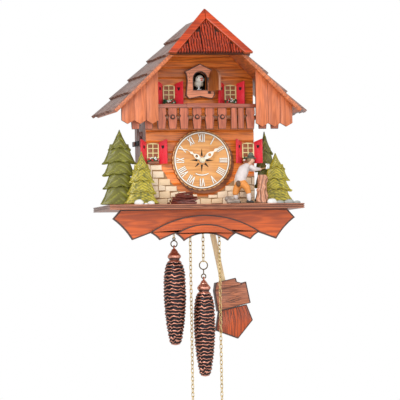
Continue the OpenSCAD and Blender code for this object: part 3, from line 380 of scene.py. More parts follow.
def plain_finishes():
    """The woods, paints and metals that need no more than their grain or speckle."""
    w, p = woods(), paints()
    wood("Cabinet Wood", w.cabinet, "x", 0.8, coat=0.35)
    # the side walls' colour is greyed towards the mauve-grey they show, partly a painted sheen
    wood("Side Wall", (0.31, 0.12, 0.09), "z", 0.8, coat=0.4)
    wood("Log Wood", w.logs, "x", 0.7, dark=0.55, blotch=0.3, coat=0.25)
    wood("Barge Wood", w.barge, "x", 0.5, dark=0.5, blotch=0.35, coat=0.4, edge=0.3)
    wood("Roof Underside", (0.64, 0.17, 0.045), "y", 0.7, dark=0.5, coat=0.4)
    wood("Shingle Wood", w.shingles, "x", 0.7, dark=0.4, blotch=0.25, coat=0.3, relief=0.3)
    wood("Plank Wood", w.planks, "z", 0.9, dark=0.66, blotch=0.3, coat=0.3)
    wood("Plate Wood", (0.88, 0.33, 0.17), "x", 0.8, dark=0.65, blotch=0.25, coat=0.25)
    wood("Baluster Wood", w.balusters, "z", 0.9, dark=0.55, blotch=0.4, coat=0.3)
    wood("Rail Wood", (0.36, 0.085, 0.036), "x", 0.8, dark=0.55, coat=0.4)
    wood("Door Wood", w.door, "z", 0.7, dark=0.6, coat=0.2)
    wood("Dial Wood", w.dial, "x", 0.6, dark=0.84, blotch=0.12, coat=0.35, relief=0.05, hollow=0.5)
    wood("Pine Wood", w.pine, "z", 0.6, dark=0.75, blotch=0.1, coat=0.1, hollow=0.2)
    wood("Bark", (0.19, 0.032, 0.016), "x", 2.2, dark=0.3, blotch=0.5, coat=0.0, relief=0.5)
    wood("Cut End", (0.75, 0.50, 0.25), "y", 2.0, dark=0.6, coat=0.0)
    wood("Stump Wood", (0.80, 0.38, 0.22), "z", 1.6, dark=0.5, blotch=0.3, coat=0.2, relief=0.4)
    paint("Shutter Red", p.shutters, rough=0.3, coat=0.5, amount=0.2, hollow=0.5,
        hollow_shade=(0.05, 0.0, 0.0))
    paint("Heart Black", (0.012, 0.008, 0.008), rough=0.5)
    paint("Lattice Cream", p.lattice, rough=0.35, coat=0.2)
    paint("Window Dark", (0.34, 0.09, 0.03), rough=0.4)
    paint("Leaf Green", (0.012, 0.10, 0.032), rough=0.45, amount=0.4, scale=500)
    paint("Blossom Red", (0.62, 0.010, 0.018), rough=0.4)
    paint("Blossom White", (0.86, 0.84, 0.80), rough=0.4)
    paint("Ivory", p.ivory, rough=0.32, coat=0.3, amount=0.15)
    # the ring's dark hollow colour is painted shadow along the edges of the ring and numerals
    paint("Ring White", (0.90, 0.86, 0.76), rough=0.35, coat=0.2, amount=0.1, hollow=0.5,
        hollow_shade=(0.25, 0.13, 0.05))
    paint("Star Black", (0.010, 0.008, 0.007), rough=0.5)
    paint("Pebble White", (0.80, 0.79, 0.76), rough=0.6, amount=0.5, scale=160, tint=0.75)
    paint("Pebble Grey", (0.40, 0.40, 0.37), rough=0.6, amount=0.5, scale=160, tint=0.6)
    paint("Hat Green", (0.13, 0.15, 0.11), rough=0.7)
    paint("Shirt White", (0.70, 0.62, 0.60), rough=0.6, amount=0.3, tint=0.7, hollow=0.5,
        hollow_shade=(0.30, 0.26, 0.22))
    paint("Trouser Tan", (0.80, 0.29, 0.055), rough=0.5, amount=0.5, scale=180, tint=0.6, hollow=0.6)
    paint("Shoe Black", (0.02, 0.018, 0.016), rough=0.4, coat=0.2)
    paint("Skin", (0.78, 0.46, 0.31), rough=0.5)
    paint("Pouch Brown", (0.13, 0.06, 0.025), rough=0.6)
    paint("Eye Black", (0.01, 0.01, 0.01), rough=0.2, coat=0.5)
    paint("Beak Red", (0.70, 0.06, 0.02), rough=0.3, coat=0.3)
    paint("Latch Black", (0.006, 0.006, 0.007), rough=0.6)
    paint("Cloth", (0.66, 0.60, 0.49), rough=0.85, scale=900, relief=0.2)
    paint("Darkness", (0.010, 0.006, 0.004), rough=0.9)
    metal("Brass", p.brass, 0.24)
    metal("Wheel Brass", (0.66, 0.47, 0.17), 0.3)
    metal("Aged Brass", (0.22, 0.15, 0.07), 0.35)
    metal("Steel", (0.55, 0.55, 0.54), 0.3)
    metal("Axe Steel", (0.70, 0.72, 0.74), 0.35)
    metal("Cone Bronze", p.copper, 0.36, amount=0.55, tint=0.45, scale=320, relief=0.3, hollow=0.95,
          hollow_shade=(0.045, 0.040, 0.044), edge=0.75, edge_shade=(0.78, 0.36, 0.25))


def carve(material, shade, low=0.15, high=0.8, strength=1.0):
    """Darkens what lies deep in the piece's own carved hollows, as painted shade; on the dark firs the colour
    is lighter and marks the cuts.
    """
    tree = material.node_tree
    shader = tree.nodes["Principled BSDF"]
    deep = add(tree, "ShaderNodeAttribute", attribute_name="depth")
    mask = ramp(tree, deep.outputs["Fac"], [(low, 0.0), (high, strength)])
    before = shader.inputs["Base Color"].links[0].from_socket
    tree.links.new(mix_colour(tree, mask, before, rgba(shade)), shader.inputs["Base Color"])
    return material


def boards(material, axis, pitch, offset=0.0, low=0.78, high=1.16):
    """Gives each board of a wall its own shade; pitch and offset are in millimetres."""
    tree = material.node_tree
    shader = tree.nodes["Principled BSDF"]
    coords = add(tree, "ShaderNodeTexCoord")
    parts = add(tree, "ShaderNodeSeparateXYZ")
    tree.links.new(coords.outputs["Object"], parts.inputs[0])
    steps = math_node(tree, "MULTIPLY", math_node(tree, "ADD", parts.outputs[axis], offset * MM),
        1 / (pitch * MM))
    steps = math_node(tree, "FLOOR", steps)
    chance = add(tree, "ShaderNodeTexWhiteNoise", noise_dimensions="1D")
    tree.links.new(steps, chance.inputs["W"])
    tone = ramp(tree, chance.outputs["Value"], [(0.0, low), (1.0, high)])
    before = shader.inputs["Base Color"].links[0].from_socket
    tree.links.new(mix_colour(tree, 1.0, before, tone, "MULTIPLY"), shader.inputs["Base Color"])
    return material


def carved_finishes():
    """Finishes that change from board to board or darken in carved hollows, and those of single details."""
    p = paints()
    boards(bpy.data.materials["Log Wood"], 2, RIDGE / LOGS, HOLE_HEIGHT)
    boards(bpy.data.materials["Shingle Wood"], 1, 8.3, 0.0, 0.8, 1.15)
    boards(bpy.data.materials["Plank Wood"], 0, 15.5, 93, 0.88, 1.1)
    wood("Shelf Wood", (0.46, 0.16, 0.075), "x", 0.8, coat=0.35)
    wood("Shelf Side", (0.34, 0.21, 0.17), "y", 0.8, coat=0.4)
    wood("Apron Wood", (0.62, 0.105, 0.007), "x", 0.6, dark=0.6, blotch=0.45, coat=0.3)
    # dark finish used as painted shade in gaps, grooves and along layer edges
    wood("Burnt Edge", (0.085, 0.026, 0.012), "x", 1.0, dark=0.4, coat=0.2)
    wood("Barge Side", (0.40, 0.07, 0.01), "x", 1.0, dark=0.5, coat=0.5)
    wood("Back Board", (0.42, 0.24, 0.11), "z", 0.7, dark=0.6, coat=0.1)
    wood("Shingle End", (0.20, 0.075, 0.04), "z", 1.2, dark=0.4, coat=0.1)
    wood("Door Edge", (0.42, 0.19, 0.11), "z", 0.8, dark=0.7)
    wood("Dial Rim", (0.30, 0.10, 0.03), "x", 0.8, dark=0.5, coat=0.3)
    wood("Grey Log", (0.46, 0.40, 0.34), "x", 1.6, dark=0.5, coat=0.0, relief=0.4)
    wood("Handle Wood", (0.45, 0.25, 0.10), "x", 1.4)
    wood("Bob Leaf", (0.60, 0.085, 0.003), "z", 0.9, dark=0.3, blotch=0.5, coat=0.25)
    wood("Bob Wood", (0.46, 0.14, 0.055), "x", 0.9, dark=0.4, blotch=0.4, coat=0.4)
    carve(wood("Thatch Wood", (0.50, 0.040, 0.001), "z", 1.0, dark=0.4, blotch=0.2, coat=0.5),
        (0.045, 0.008, 0.002), 0.05, 0.75)
    carve(bpy.data.materials["Cone Bronze"], (0.034, 0.030, 0.034), 0.22, 0.66)
    carve(bpy.data.materials["Stump Wood"], (0.16, 0.06, 0.03), 0.2, 0.9)
    carve(paint("Fir Dark", p.fir_dark, rough=0.5, coat=0.25, amount=0.7, scale=110, tint=1.9, hollow=0.2,
        edge=0.5,
                edge_shade=(0.30, 0.30, 0.03)), (0.36, 0.36, 0.03), 0.35, 1.0, 0.85)
    carve(paint("Fir Light", p.fir_light, rough=0.45, coat=0.25, amount=0.6, scale=190, tint=0.45, hollow=0.5,
                edge=0.5, edge_shade=(0.62, 0.62, 0.22)), (0.045, 0.065, 0.012), 0.15, 0.9)
    paint("Stone Cream", p.stones, rough=0.55, amount=0.5, scale=120, tint=0.72, hollow=0.5)
    paint("Stone Warm", (0.88, 0.64, 0.40), rough=0.55, amount=0.5, scale=120, tint=0.75, hollow=0.5)
    paint("Stone Joint", (0.36, 0.20, 0.09), rough=0.7, amount=0.4)
    paint("Ivory Nut", (0.80, 0.72, 0.50), rough=0.3, coat=0.3)
    paint("Bird White", (0.86, 0.82, 0.72), rough=0.45, coat=0.2, amount=0.2)
    paint("Bird Wing", (0.62, 0.52, 0.36), rough=0.5, amount=0.4)
    paint("Hair", (0.28, 0.16, 0.08), rough=0.6, amount=0.5)
    metal("Dark Brass", (0.16, 0.11, 0.05), 0.35)
    metal("Blued Steel", (0.16, 0.19, 0.26), 0.3)


# ---- mesh helpers -----------------------------------------------------------


def rounded(bm, edges, width, segments=2):
    """Rounds edges by a width in millimetres."""
    return bmesh.ops.bevel(bm, geom=edges, offset=width * MM, offset_type="OFFSET", segments=segments,
        profile=0.5,
                           affect="EDGES", clamp_overlap=True, material=-1)


def closed(bm):
    """Fills every open rim."""
    rim = [e for e in bm.edges if e.is_boundary]
    if rim:
        bmesh.ops.holes_fill(bm, edges=rim, sides=0)


def between(points, place, ease=False):
    """The height over a place on a broken line of (place, height) corners, or 0 beyond its ends."""
    for (p0, h0), (p1, h1) in zip(points, points[1:]):
        if p0 <= place <= p1:
            t = (place - p0) / (p1 - p0)
            if ease:
                t = t * t * (3 - 2 * t)
            return h0 + (h1 - h0) * t
    return 0.0


def copy_of(node, edge=0.0, segments=2):
    """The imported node's mesh, merged and with its sawn edges rounded."""
    bm = bmesh.new()
    bm.from_mesh(NODES[node].data)
    bmesh.ops.remove_doubles(bm, verts=bm.verts, dist=MERGE)
    bmesh.ops.dissolve_limit(bm, angle_limit=math.radians(1), verts=bm.verts, edges=bm.edges)
    if edge:
        sharp = math.radians(25)
        rounded(bm, [e for e in bm.edges if len(e.link_faces) == 2 and e.calc_face_angle(0) > sharp], edge,
            segments)
    return bm


def depth_layer(bm):
    return bm.verts.layers.float.get("depth") or bm.verts.layers.float.new("depth")


def skin(bm, columns, rows, shape, material=0):
    """A grid placed by shape(u, v), which returns a point and how deep it lies in a carved hollow."""
    layer = depth_layer(bm)
    grid = bmesh.ops.create_grid(bm, x_segments=columns, y_segments=rows, size=0.5)
    for vert in grid["verts"]:
        point, deep = shape(vert.co.x + 0.5, vert.co.y + 0.5)
        vert.co = point
        vert[layer] = deep
    faces = {f for vert in grid["verts"] for f in vert.link_faces}
    for face in faces:
        face.normal_update()
        face.material_index = material(face) if callable(material) else material
    bmesh.ops.remove_doubles(bm, verts=grid["verts"], dist=MERGE)


def blob(bm, centre, radii, columns=16, rows=10, material=0, turn=None, warp=None):
    """A closed rounded form round a centre, in millimetres."""
    c = at(*centre)

    def shape(u, v):
        a, b = 2 * math.pi * u, math.pi * v
        p = Vector((radii[0] * math.cos(a) * math.sin(b), radii[1] * math.sin(a) * math.sin(b),
            radii[2] * math.cos(b)))
        deep = 0.0
        if warp:
            p, deep = warp(p, u, v)
        if turn:
            p = turn @ p
        return c + p * MM, deep

    skin(bm, columns, rows, shape, material)


def tube(bm, points, radii, columns=12, rows=3, material=0, flat=1.0, swell=None):
    """A closed limb through points in millimetres, with one radius per point and rounded ends."""
    pts = [Vector(p) for p in points]
    stops = len(pts) - 1

    def place(t):
        k = min(int(t * stops), stops - 1)
        f = t * stops - k
        f = f * f * (3 - 2 * f)
        return pts[k].lerp(pts[k + 1], f), radii[k] + (radii[k + 1] - radii[k]) * f

    total = rows * stops + 4

    def shape(u, v):
        step = v * total
        if step < 2:
            t, cap = 0.0, math.sin(step / 2 * math.pi / 2)
            lift = -math.cos(step / 2 * math.pi / 2)
        elif step > total - 2:
            t, cap = 1.0, math.sin((total - step) / 2 * math.pi / 2)
            lift = math.cos((total - step) / 2 * math.pi / 2)
        else:
            t, cap, lift = (step - 2) / (total - 4), 1.0, 0.0
        centre, radius = place(t)
        ahead = (place(min(1, t + 0.02))[0] - place(max(0, t - 0.02))[0]).normalized()
        side = ahead.cross(Vector((0, 1, 0)))
        side = side.normalized() if side.length > 0.05 else Vector((1, 0, 0))
        up = ahead.cross(side).normalized()
        a = 2 * math.pi * u
        r = radius * cap * (swell(t, u) if swell else 1.0)
        p = centre + side * (r * math.cos(a)) + up * (r * flat * math.sin(a)) + ahead * (lift * radius * 0.6)
        return at(*p), 0.0

    skin(bm, columns, total, shape, material)


def board(bm, centre, size, edge=0.3, material=0):
    """A rectangular piece from its centre and size in millimetres, with rounded edges."""
    verts = bmesh.ops.create_cube(bm, size=1.0)["verts"]
    bmesh.ops.scale(bm, vec=Vector(size) * MM, verts=verts)
    cut = rounded(bm, list({e for v in verts for e in v.link_edges}), edge)
    verts = list({v for f in cut["faces"] for v in f.verts})
    faces = {f for v in verts for f in v.link_faces}
    for face in faces:
        face.material_index = material
    bmesh.ops.translate(bm, vec=at(*centre), verts=verts)


def outline(bm, points, y0, y1, edge=0.0, material=0, matrix=None):
    """A flat piece from its outline in x and z, from depth y0 forward to y1, with a rounded front edge."""
    verts = [bm.verts.new(at(x, y0, z)) for x, z in points]
    face = bm.faces.new(verts)
    out = bmesh.ops.extrude_face_region(bm, geom=[face])
    front = [g for g in out["geom"] if isinstance(g, bmesh.types.BMVert)]
    bmesh.ops.translate(bm, vec=Vector((0, (y1 - y0) * MM, 0)), verts=front)
    every = list(set(verts) | set(front))
    faces = {f for v in every for f in v.link_faces}
    bmesh.ops.recalc_face_normals(bm, faces=list(faces))
    for f in faces:
        f.material_index = material
    if edge:
        rim = [e for e in bm.edges if e.verts[0] in set(front) and e.verts[1] in set(front)]
        cut = rounded(bm, rim, edge)
        every = [v for v in every if v.is_valid] + [v for f in cut["faces"] for v in f.verts]
        every = list(set(every))
    if matrix:
        bmesh.ops.transform(bm, matrix=matrix, verts=every)
    return every


def finish_piece(bm, name, materials, body, slot, replaced=(), smooth=35, fix_normals=True):
    """Makes the object, lets it ride on its body and gives it its finishes."""
    if fix_normals:
        bmesh.ops.recalc_face_normals(bm, faces=bm.faces)
    mesh = bpy.data.meshes.new(name)
    bm.to_mesh(mesh)
    bm.free()
    obj = bpy.data.objects.new(name, mesh)
    bpy.context.scene.collection.objects.link(obj)
    for material in materials:
        mesh.materials.append(bpy.data.materials[material])
    if smooth:
        mesh.shade_smooth()
        mesh.set_sharp_from_angle(angle=math.radians(smooth))
    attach(obj, body)
    if replaced:
        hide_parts(*replaced)
    return obj


def own(node):
    """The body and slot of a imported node, and the list that names it as replaced."""
    return BODY_OF[node], SLOT_OF[node], (node,)


def dress(node, *materials):
    """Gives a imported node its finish."""
    mesh = NODES[node].data
    mesh.materials.clear()
    for material in materials:
        mesh.materials.append(bpy.data.materials[material])


def softened(node, name, materials, edge=0.3, segments=2, sort=None):
    """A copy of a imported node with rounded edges; sort(face) picks a face's finish."""
    bm = copy_of(node, edge, segments)
    if sort:
        for face in bm.faces:
            face.material_index = sort(face)
    return finish_piece(bm, name, materials, *own(node), fix_normals=False)


def bordered(node, name, materials, width, drop):
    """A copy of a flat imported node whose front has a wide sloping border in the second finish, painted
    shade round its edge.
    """
    bm = copy_of(node)
    front = [f for f in bm.faces if f.normal.y < -0.95]
    for face in bm.faces:
        face.material_index = 0 if abs(face.normal.y) > 0.95 else 1
    rim = {v for f in front for v in f.verts}
    made = bmesh.ops.inset_region(bm, faces=front, thickness=width * MM, use_even_offset=True)
    for face in made["faces"]:
        face.material_index = 1
        for vert in face.verts:
            if vert in rim and any(f.normal.y > -0.95 for f in vert.link_faces if f not in made["faces"]):
                rim.discard(vert)
                vert.co.y += drop * MM
    bm.normal_update()
    return finish_piece(bm, name, materials, *own(node), 30, fix_normals=False)


def rough(point, scale, seed=0.0):
    """Smooth unevenness at a point given in millimetres, about -1 to 1."""
    return noise.noise(Vector((point[0] / scale + seed, point[1] / scale, point[2] / scale - seed)))


# ---- house --------------------------------------------------------------


class CUCKOO_OT_case(bpy.types.Operator):
    """Log front, side walls, back panel, shelf and apron"""

    bl_idname = "cuckoo.case"
    bl_label = "Cabinet"

    def execute(self, context):
        edge = sizes().edge / MM
        # the wall's inward faces get the dark finish, painted shade inside the case
        softened("front_wall", "log_front", ["Log Wood", "Darkness"], 0.25, 2,
                 sort=lambda f: 1 if f.normal.y > 0.75 else 0)
        softened("shelf", "shelf_board", ["Shelf Wood", "Shelf Side", "Burnt Edge"], 0.3,
            sort=self.shelf_part)
        for node, name in (("apron_outer", "apron_fan_outer"), ("apron_middle", "apron_fan_middle"),
                           ("apron_inner", "apron_fan_inner")):
            bordered(node, name, ["Apron Wood", "Burnt Edge"], 1.7, 1.9)
        softened("side_frame_left", "side_wall_left", ["Side Wall"], edge)
        softened("side_door", "side_door_leaf", ["Side Wall"], edge)
        softened("side_panel_right", "side_wall_right", ["Side Wall"], edge)
        softened("side_latch", "latch", ["Latch Black"], 0.3)
        softened("back_panel", "back_board", ["Back Board"], edge)
        return {"FINISHED"}

    def shelf_part(self, face):
        low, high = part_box("shelf")
        c = face.calc_center_median()
        # a strip just behind the front edge gets the dark finish, painted shade in the shelf's groove
        if low.y + 0.2 * MM < c.y < low.y + 4 * MM and low.z + 0.8 * MM < c.z < high.z - 0.8 * MM:
            return 2
        # the shelf's sideways faces get a greyer copy of its wood, a painted sheen
        return 1 if abs(face.normal.x) > 0.75 else 0


SLOPE = math.radians(44)
ROOF_DEPTH = 119.0
BOARD = 4.5
ROWS = 5
ROW = 118.5 / math.cos(SLOPE) / ROWS
HIP_Y = -98.0
HIP_TOP = RIDGE + BOARD / math.cos(SLOPE) + 8.5
HIP_DROP = 56.97
HIP_OUT = 32
HIP_LEAN = math.atan(HIP_OUT / HIP_DROP)
HIP_LENGTH = HIP_DROP / math.cos(HIP_LEAN)


def hip_matrix():
    return Matrix.Translation(at(0, HIP_Y, HIP_TOP)) @ Matrix.Rotation(math.pi / 2 - HIP_LEAN, 4, "X")


def hip_place(x, y, z):
    """A point on the half-hip: across, up the slope and out of it, in millimetres."""
    return hip_matrix() @ (Vector((x, y, z)) * MM)


class CUCKOO_OT_roof(bpy.types.Operator):
    """Roof boards, shingles and the carved half-hip"""

    bl_idname = "cuckoo.roof"
    bl_label = "Roof"

    def execute(self, context):
        for node, name in (("roof_board_left", "roof_underside_left"),
                ("roof_board_right", "roof_underside_right")):
            softened(node, name, ["Roof Underside"], 0.3)
        self.shingles("shingles_left", -1)
        self.shingles("shingles_right", 1)
        self.thatch()
        softened("barge_boards", "barge_board_pair", ["Barge Wood", "Barge Side"], 1.3, 3,
                 sort=lambda f: 0 if abs((hip_matrix().to_3x3().inverted() @ f.normal).z) > 0.6 else 1)
        return {"FINISHED"}

    def shingles(self, node, side):
        """Rows of split shingles with ragged ends, on the slope at that side."""
        rng = random.Random(11 if side > 0 else 12)
        bm = bmesh.new()
        normal = Vector((side * math.sin(SLOPE), 0, math.cos(SLOPE)))
        down = Vector((side * math.cos(SLOPE), 0, -math.sin(SLOPE)))
        start = Vector((0, 0, RIDGE))
        turn = Matrix((down, Vector((0, 1, 0)), normal)).transposed()
        for row in range(ROWS):
            top = -BOARD * math.tan(SLOPE) if row == 0 else row * ROW
            low = (row + 1) * ROW
            y = -0.6
            while y > -ROOF_DEPTH + 1.5:
                width = min(rng.uniform(5.5, 11.5), y + ROOF_DEPTH - 0.6)
                if y - width - 4 < -ROOF_DEPTH:
                    width = y + ROOF_DEPTH - 0.6
                end = low + rng.uniform(0.2, 2.4)
                thick = 3.5 + rng.uniform(-0.2, 0.25)
                self.shingle(bm, turn, start, top, end, y - width + 0.2, y - 0.2, thick, rng)
                y -= width
        plane = hip_place(0, 0, -2.3)
        away = (hip_matrix().to_3x3() @ Vector((0, 0, 1))).normalized()
        geom = bm.verts[:] + bm.edges[:] + bm.faces[:]
        cut = bmesh.ops.bisect_plane(bm, geom=geom, plane_co=plane, plane_no=away, clear_outer=True)
        rim = [g for g in cut["geom_cut"] if isinstance(g, bmesh.types.BMEdge)]
        bmesh.ops.holes_fill(bm, edges=rim, sides=0)
        finish_piece(bm, node + "_split", ["Shingle Wood", "Shingle End"], *own(node))

    def shingle(self, bm, turn, start, top, low, y0, y1, thick, rng):
        """One split shingle: a thin wedge whose lower end is ragged."""
        strips = 7
        grid = bmesh.ops.create_grid(bm, x_segments=1, y_segments=strips, size=0.5)
        under = grid["verts"]
        faces = list({f for v in under for f in v.link_faces})
        wave = [rng.uniform(-0.9, 0.5) for _ in range(strips + 1)]
        places = {v: (v.co.x + 0.5, round((v.co.y + 0.5) * strips)) for v in under}
        upper = bmesh.ops.extrude_face_region(bm, geom=faces)
        over = [g for g in upper["geom"] if isinstance(g, bmesh.types.BMVert)]
        for v in over:
            places[v] = (v.co.x + 0.5, round((v.co.y + 0.5) * strips))
        for v, (u, k) in places.items():
            raised = v in over
            x = top + (low - top) * u + (wave[k] if u > 0.5 else 0)
            z = BOARD + ((0.5 + (thick - 0.5) * u + (wave[k] * 0.35 if u > 0.5 else 0)) if raised else 0)
            v.co = at(*(start + turn @ Vector((x, y0 + (y1 - y0) * k / strips, z))))
        down = turn @ Vector((1, 0, 0))
        for f in {f for v in places for f in v.link_faces}:
            f.normal_update()
            f.material_index = 1 if abs(f.normal.dot(down)) > 0.6 else 0

    def thatch(self):
        """The half-hip's panel with tiers of grooved blocks."""
        bm = bmesh.new()
        inner = 51.0
        # the panel round the blocks gets the dark finish, painted shade between them
        verts = outline(bm, [(0, -5), (inner, -HIP_LENGTH + 1), (-inner, -HIP_LENGTH + 1)], -2, 2, 0.2, 1)
        # the outline lies in x and z and faces -Y, so it is laid into the half-hip's own plane
        swap = Matrix.Rotation(-math.pi / 2, 4, "X") @ Matrix.Translation(-at(0, 0, 0))
        bmesh.ops.transform(bm, matrix=hip_matrix() @ swap, verts=verts)
        foot = -HIP_LENGTH + 1.5
        blocks = [(0, -8, -24, 6.4, 2.2), (0, -24.5, -41, 8.8, 3.6), (-17.2, -34, foot + 4, 6.6, 2.6),
            (17.2, -34, foot + 4, 6.6, 2.6),
                  (0, -41.5, foot - 0.6, 9.2, 5.2), (-18.2, -45, foot, 8.0, 3.8), (18.2, -45, foot, 8.0, 3.8),
                  (-34.6, -52, foot, 7.4, 2.6), (34.6, -52, foot, 7.4, 2.6)]
        for number, (x, top, low, half, lift) in enumerate(blocks):
            self.block(bm, x, top, low, half, lift, number * 3.7)
        finish_piece(bm, "half_hip_carving", ["Thatch Wood", "Burnt Edge"], "case", "hip_wood",
            ("hip_panel",))

    def block(self, bm, x, top, low, half, lift, seed):
        reeds = max(3, round(half * 2 * sizes().thatch / 100))

        def shape(u, v):
            # u runs across with a turned-down margin, v down the block
            px = x + (min(max(u, 0.04), 0.96) - 0.5) / 0.92 * 2 * half
            edge_u = u < 0.04 or u > 0.96
            edge_v = v < 0.03 or v > 0.97
            t = min(max(v, 0.03), 0.97)
            wave = 0.8 * noise.noise(Vector((seed, t * 2.2, px * 0.06)))
            phase = (px + wave * 1.6) / (2 * half) * reeds
            ridge = abs(math.sin(math.pi * phase))
            fine = noise.noise(Vector((px * 0.9 + seed, t * 3.0, 1.3)))
            cut = max(0.0, 1 - min(1, ridge * 1.7 + 0.25 * fine))
            py = top + (low - top) * (t - 0.03) / 0.94
            if t > 0.9:
                py += (1.4 * abs(math.cos(math.pi * phase)) - 0.8) * (t - 0.9) / 0.07
            pz = 2 + lift - 1.5 * cut + 0.25 * fine
            if edge_u or edge_v:
                pz = 1.2
            return hip_place(px, py, pz), min(1.0, cut * 1.1 + (0.8 if edge_u or edge_v else 0))

        skin(bm, 44, 24, shape)
        closed(bm)


class CUCKOO_OT_balcony(bpy.types.Operator):
    """Plank screens, balcony floor, rail and balusters"""

    bl_idname = "cuckoo.balcony"
    bl_label = "Balcony"

    def execute(self, context):
        # the planks' sides and undersides get the dark finish, painted shade
        softened("plank_screens", "screen_planks", ["Plank Wood", "Burnt Edge"], 0.4,
                 sort=lambda f: 0 if abs(f.normal.y) > 0.3 or f.normal.z > 0.3 else 1)
        softened("balcony_floor", "balcony_planks", ["Cabinet Wood"], 0.4)
        softened("balcony_rail", "hand_rail", ["Rail Wood"], 1.0, 3)
        bordered("balusters", "baluster_row", ["Baluster Wood", "Burnt Edge"], 0.45, 0.45)
        return {"FINISHED"}


class CUCKOO_OT_windows(bpy.types.Operator):
    """Window lattices, shutters with hearts and flower boxes"""

    bl_idname = "cuckoo.windows"
    bl_label = "Windows"
    OPEN = math.radians(45)
    HEART_FACE = 6e-6
    PLACES = ((-39.5, 131), (39.5, 131), (-61, 58.5), (61, 58.5))

    def execute(self, context):
        softened("window_frames", "window_lattices", ["Lattice Cream"], 0.25)
        softened("shutters", "shutter_leaves", ["Shutter Red", "Heart Black"], 0.3,
                 sort=self.in_heart)
        bm = bmesh.new()
        for x, z in self.PLACES:
            outline(bm, [(x - 7.6, z - 0.2), (x + 7.6, z - 0.2), (x + 7.6, z + 17.5), (x, z + 19.2),
                (x - 7.6, z + 17.5)],
                    FRONT, FRONT - 0.5, 0.1)
        finish_piece(bm, "window_panes", ["Window Dark"], "case", "case_wood")
        self.flowers()
        self.plugs()
        return {"FINISHED"}

    def heart_of(self, face):
        """The shutter whose heart this face lines, as the window's number and its side, or nothing."""
        c = face.calc_center_median()
        for number, (px, pz) in enumerate(self.PLACES):
            for side in (-1, 1):
                out = (c.x / MM - px) * side - 9.1
                if 2.0 < out < 5.2 and 10.5 < c.z / MM + HOLE_HEIGHT - pz < 15.5 and self.wall(face, side):
                    return number, side
        return None

    def in_heart(self, face):
        # the heart's walls get the black finish, painted shade in the cut
        return 1 if self.heart_of(face) and face.calc_area() < self.HEART_FACE else 0

    def wall(self, face, side):
        # the leaf's own plane faces half sideways; the heart's walls don't
        leaf = Vector((-side * math.sin(self.OPEN), -math.cos(self.OPEN), 0))
        return abs(face.normal.dot(leaf)) < 0.6

    def plugs(self):
        """A dark board inside each shutter, seen through its heart, as painted shade behind the cut."""
        source = copy_of("shutters")
        found = {}
        for face in source.faces:
            key = self.heart_of(face)
            if key and face.calc_area() < self.HEART_FACE:
                found.setdefault(key, []).extend(v.co.copy() for v in face.verts)
        source.free()
        bm = bmesh.new()
        for (_, side), points in found.items():
            c = sum(points, Vector()) / len(points)
            turn = Matrix.Rotation(-self.OPEN * side, 4, "Z")
            outline(bm, [(0, -2.5), (1.9, -0.1), (2.0, 1.3), (1.1, 2.0), (0, 1.2), (-1.1, 2.0), (-2.0, 1.3),
                (-1.9, -0.1)],
                    0.96, -0.96, 0, 0, Matrix.Translation(c) @ turn @ Matrix.Translation(-at(0, 0, 0)))
        finish_piece(bm, "heart_plugs", ["Heart Black"], "case", "case_wood")

    def flowers(self):
        rng = random.Random(5)
        bm = bmesh.new()
        for x, z in self.PLACES:
            board(bm, (x, FRONT - 2.7, z - 5.3), (14, 4.8, 3.4), 0.4, 0)
            for i in range(34):
                px = x + rng.uniform(-7, 7)
                py = FRONT - rng.uniform(1.2, 6.0)
                pz = z - 3.2 + rng.uniform(-0.8, 3.6)
                r = rng.uniform(0.9, 1.7)
                lean = Matrix.Rotation(rng.uniform(0, 6.3), 3, "Y") @ Matrix.Rotation(rng.uniform(-0.7, 0.7),
                    3, "X")
                blob(bm, (px, py, pz), (r, r * 0.45, r * 0.7), 8, 5, 1, lean)
            for i in range(13):
                px = x + rng.uniform(-6.6, 6.6)
                pz = z - 2.6 + rng.uniform(-0.6, 3.8)
                r = rng.uniform(0.75, 1.15)
                blob(bm, (px, FRONT - rng.uniform(5.2, 6.6), pz), (r, r * 0.7, r), 8, 6, 2 if i % 2 else 3)
        finish_piece(bm, "window_flowers", ["Cabinet Wood", "Leaf Green", "Blossom Red", "Blossom White"],
            "case",
                     "flower_paint", ("flower_boxes",))


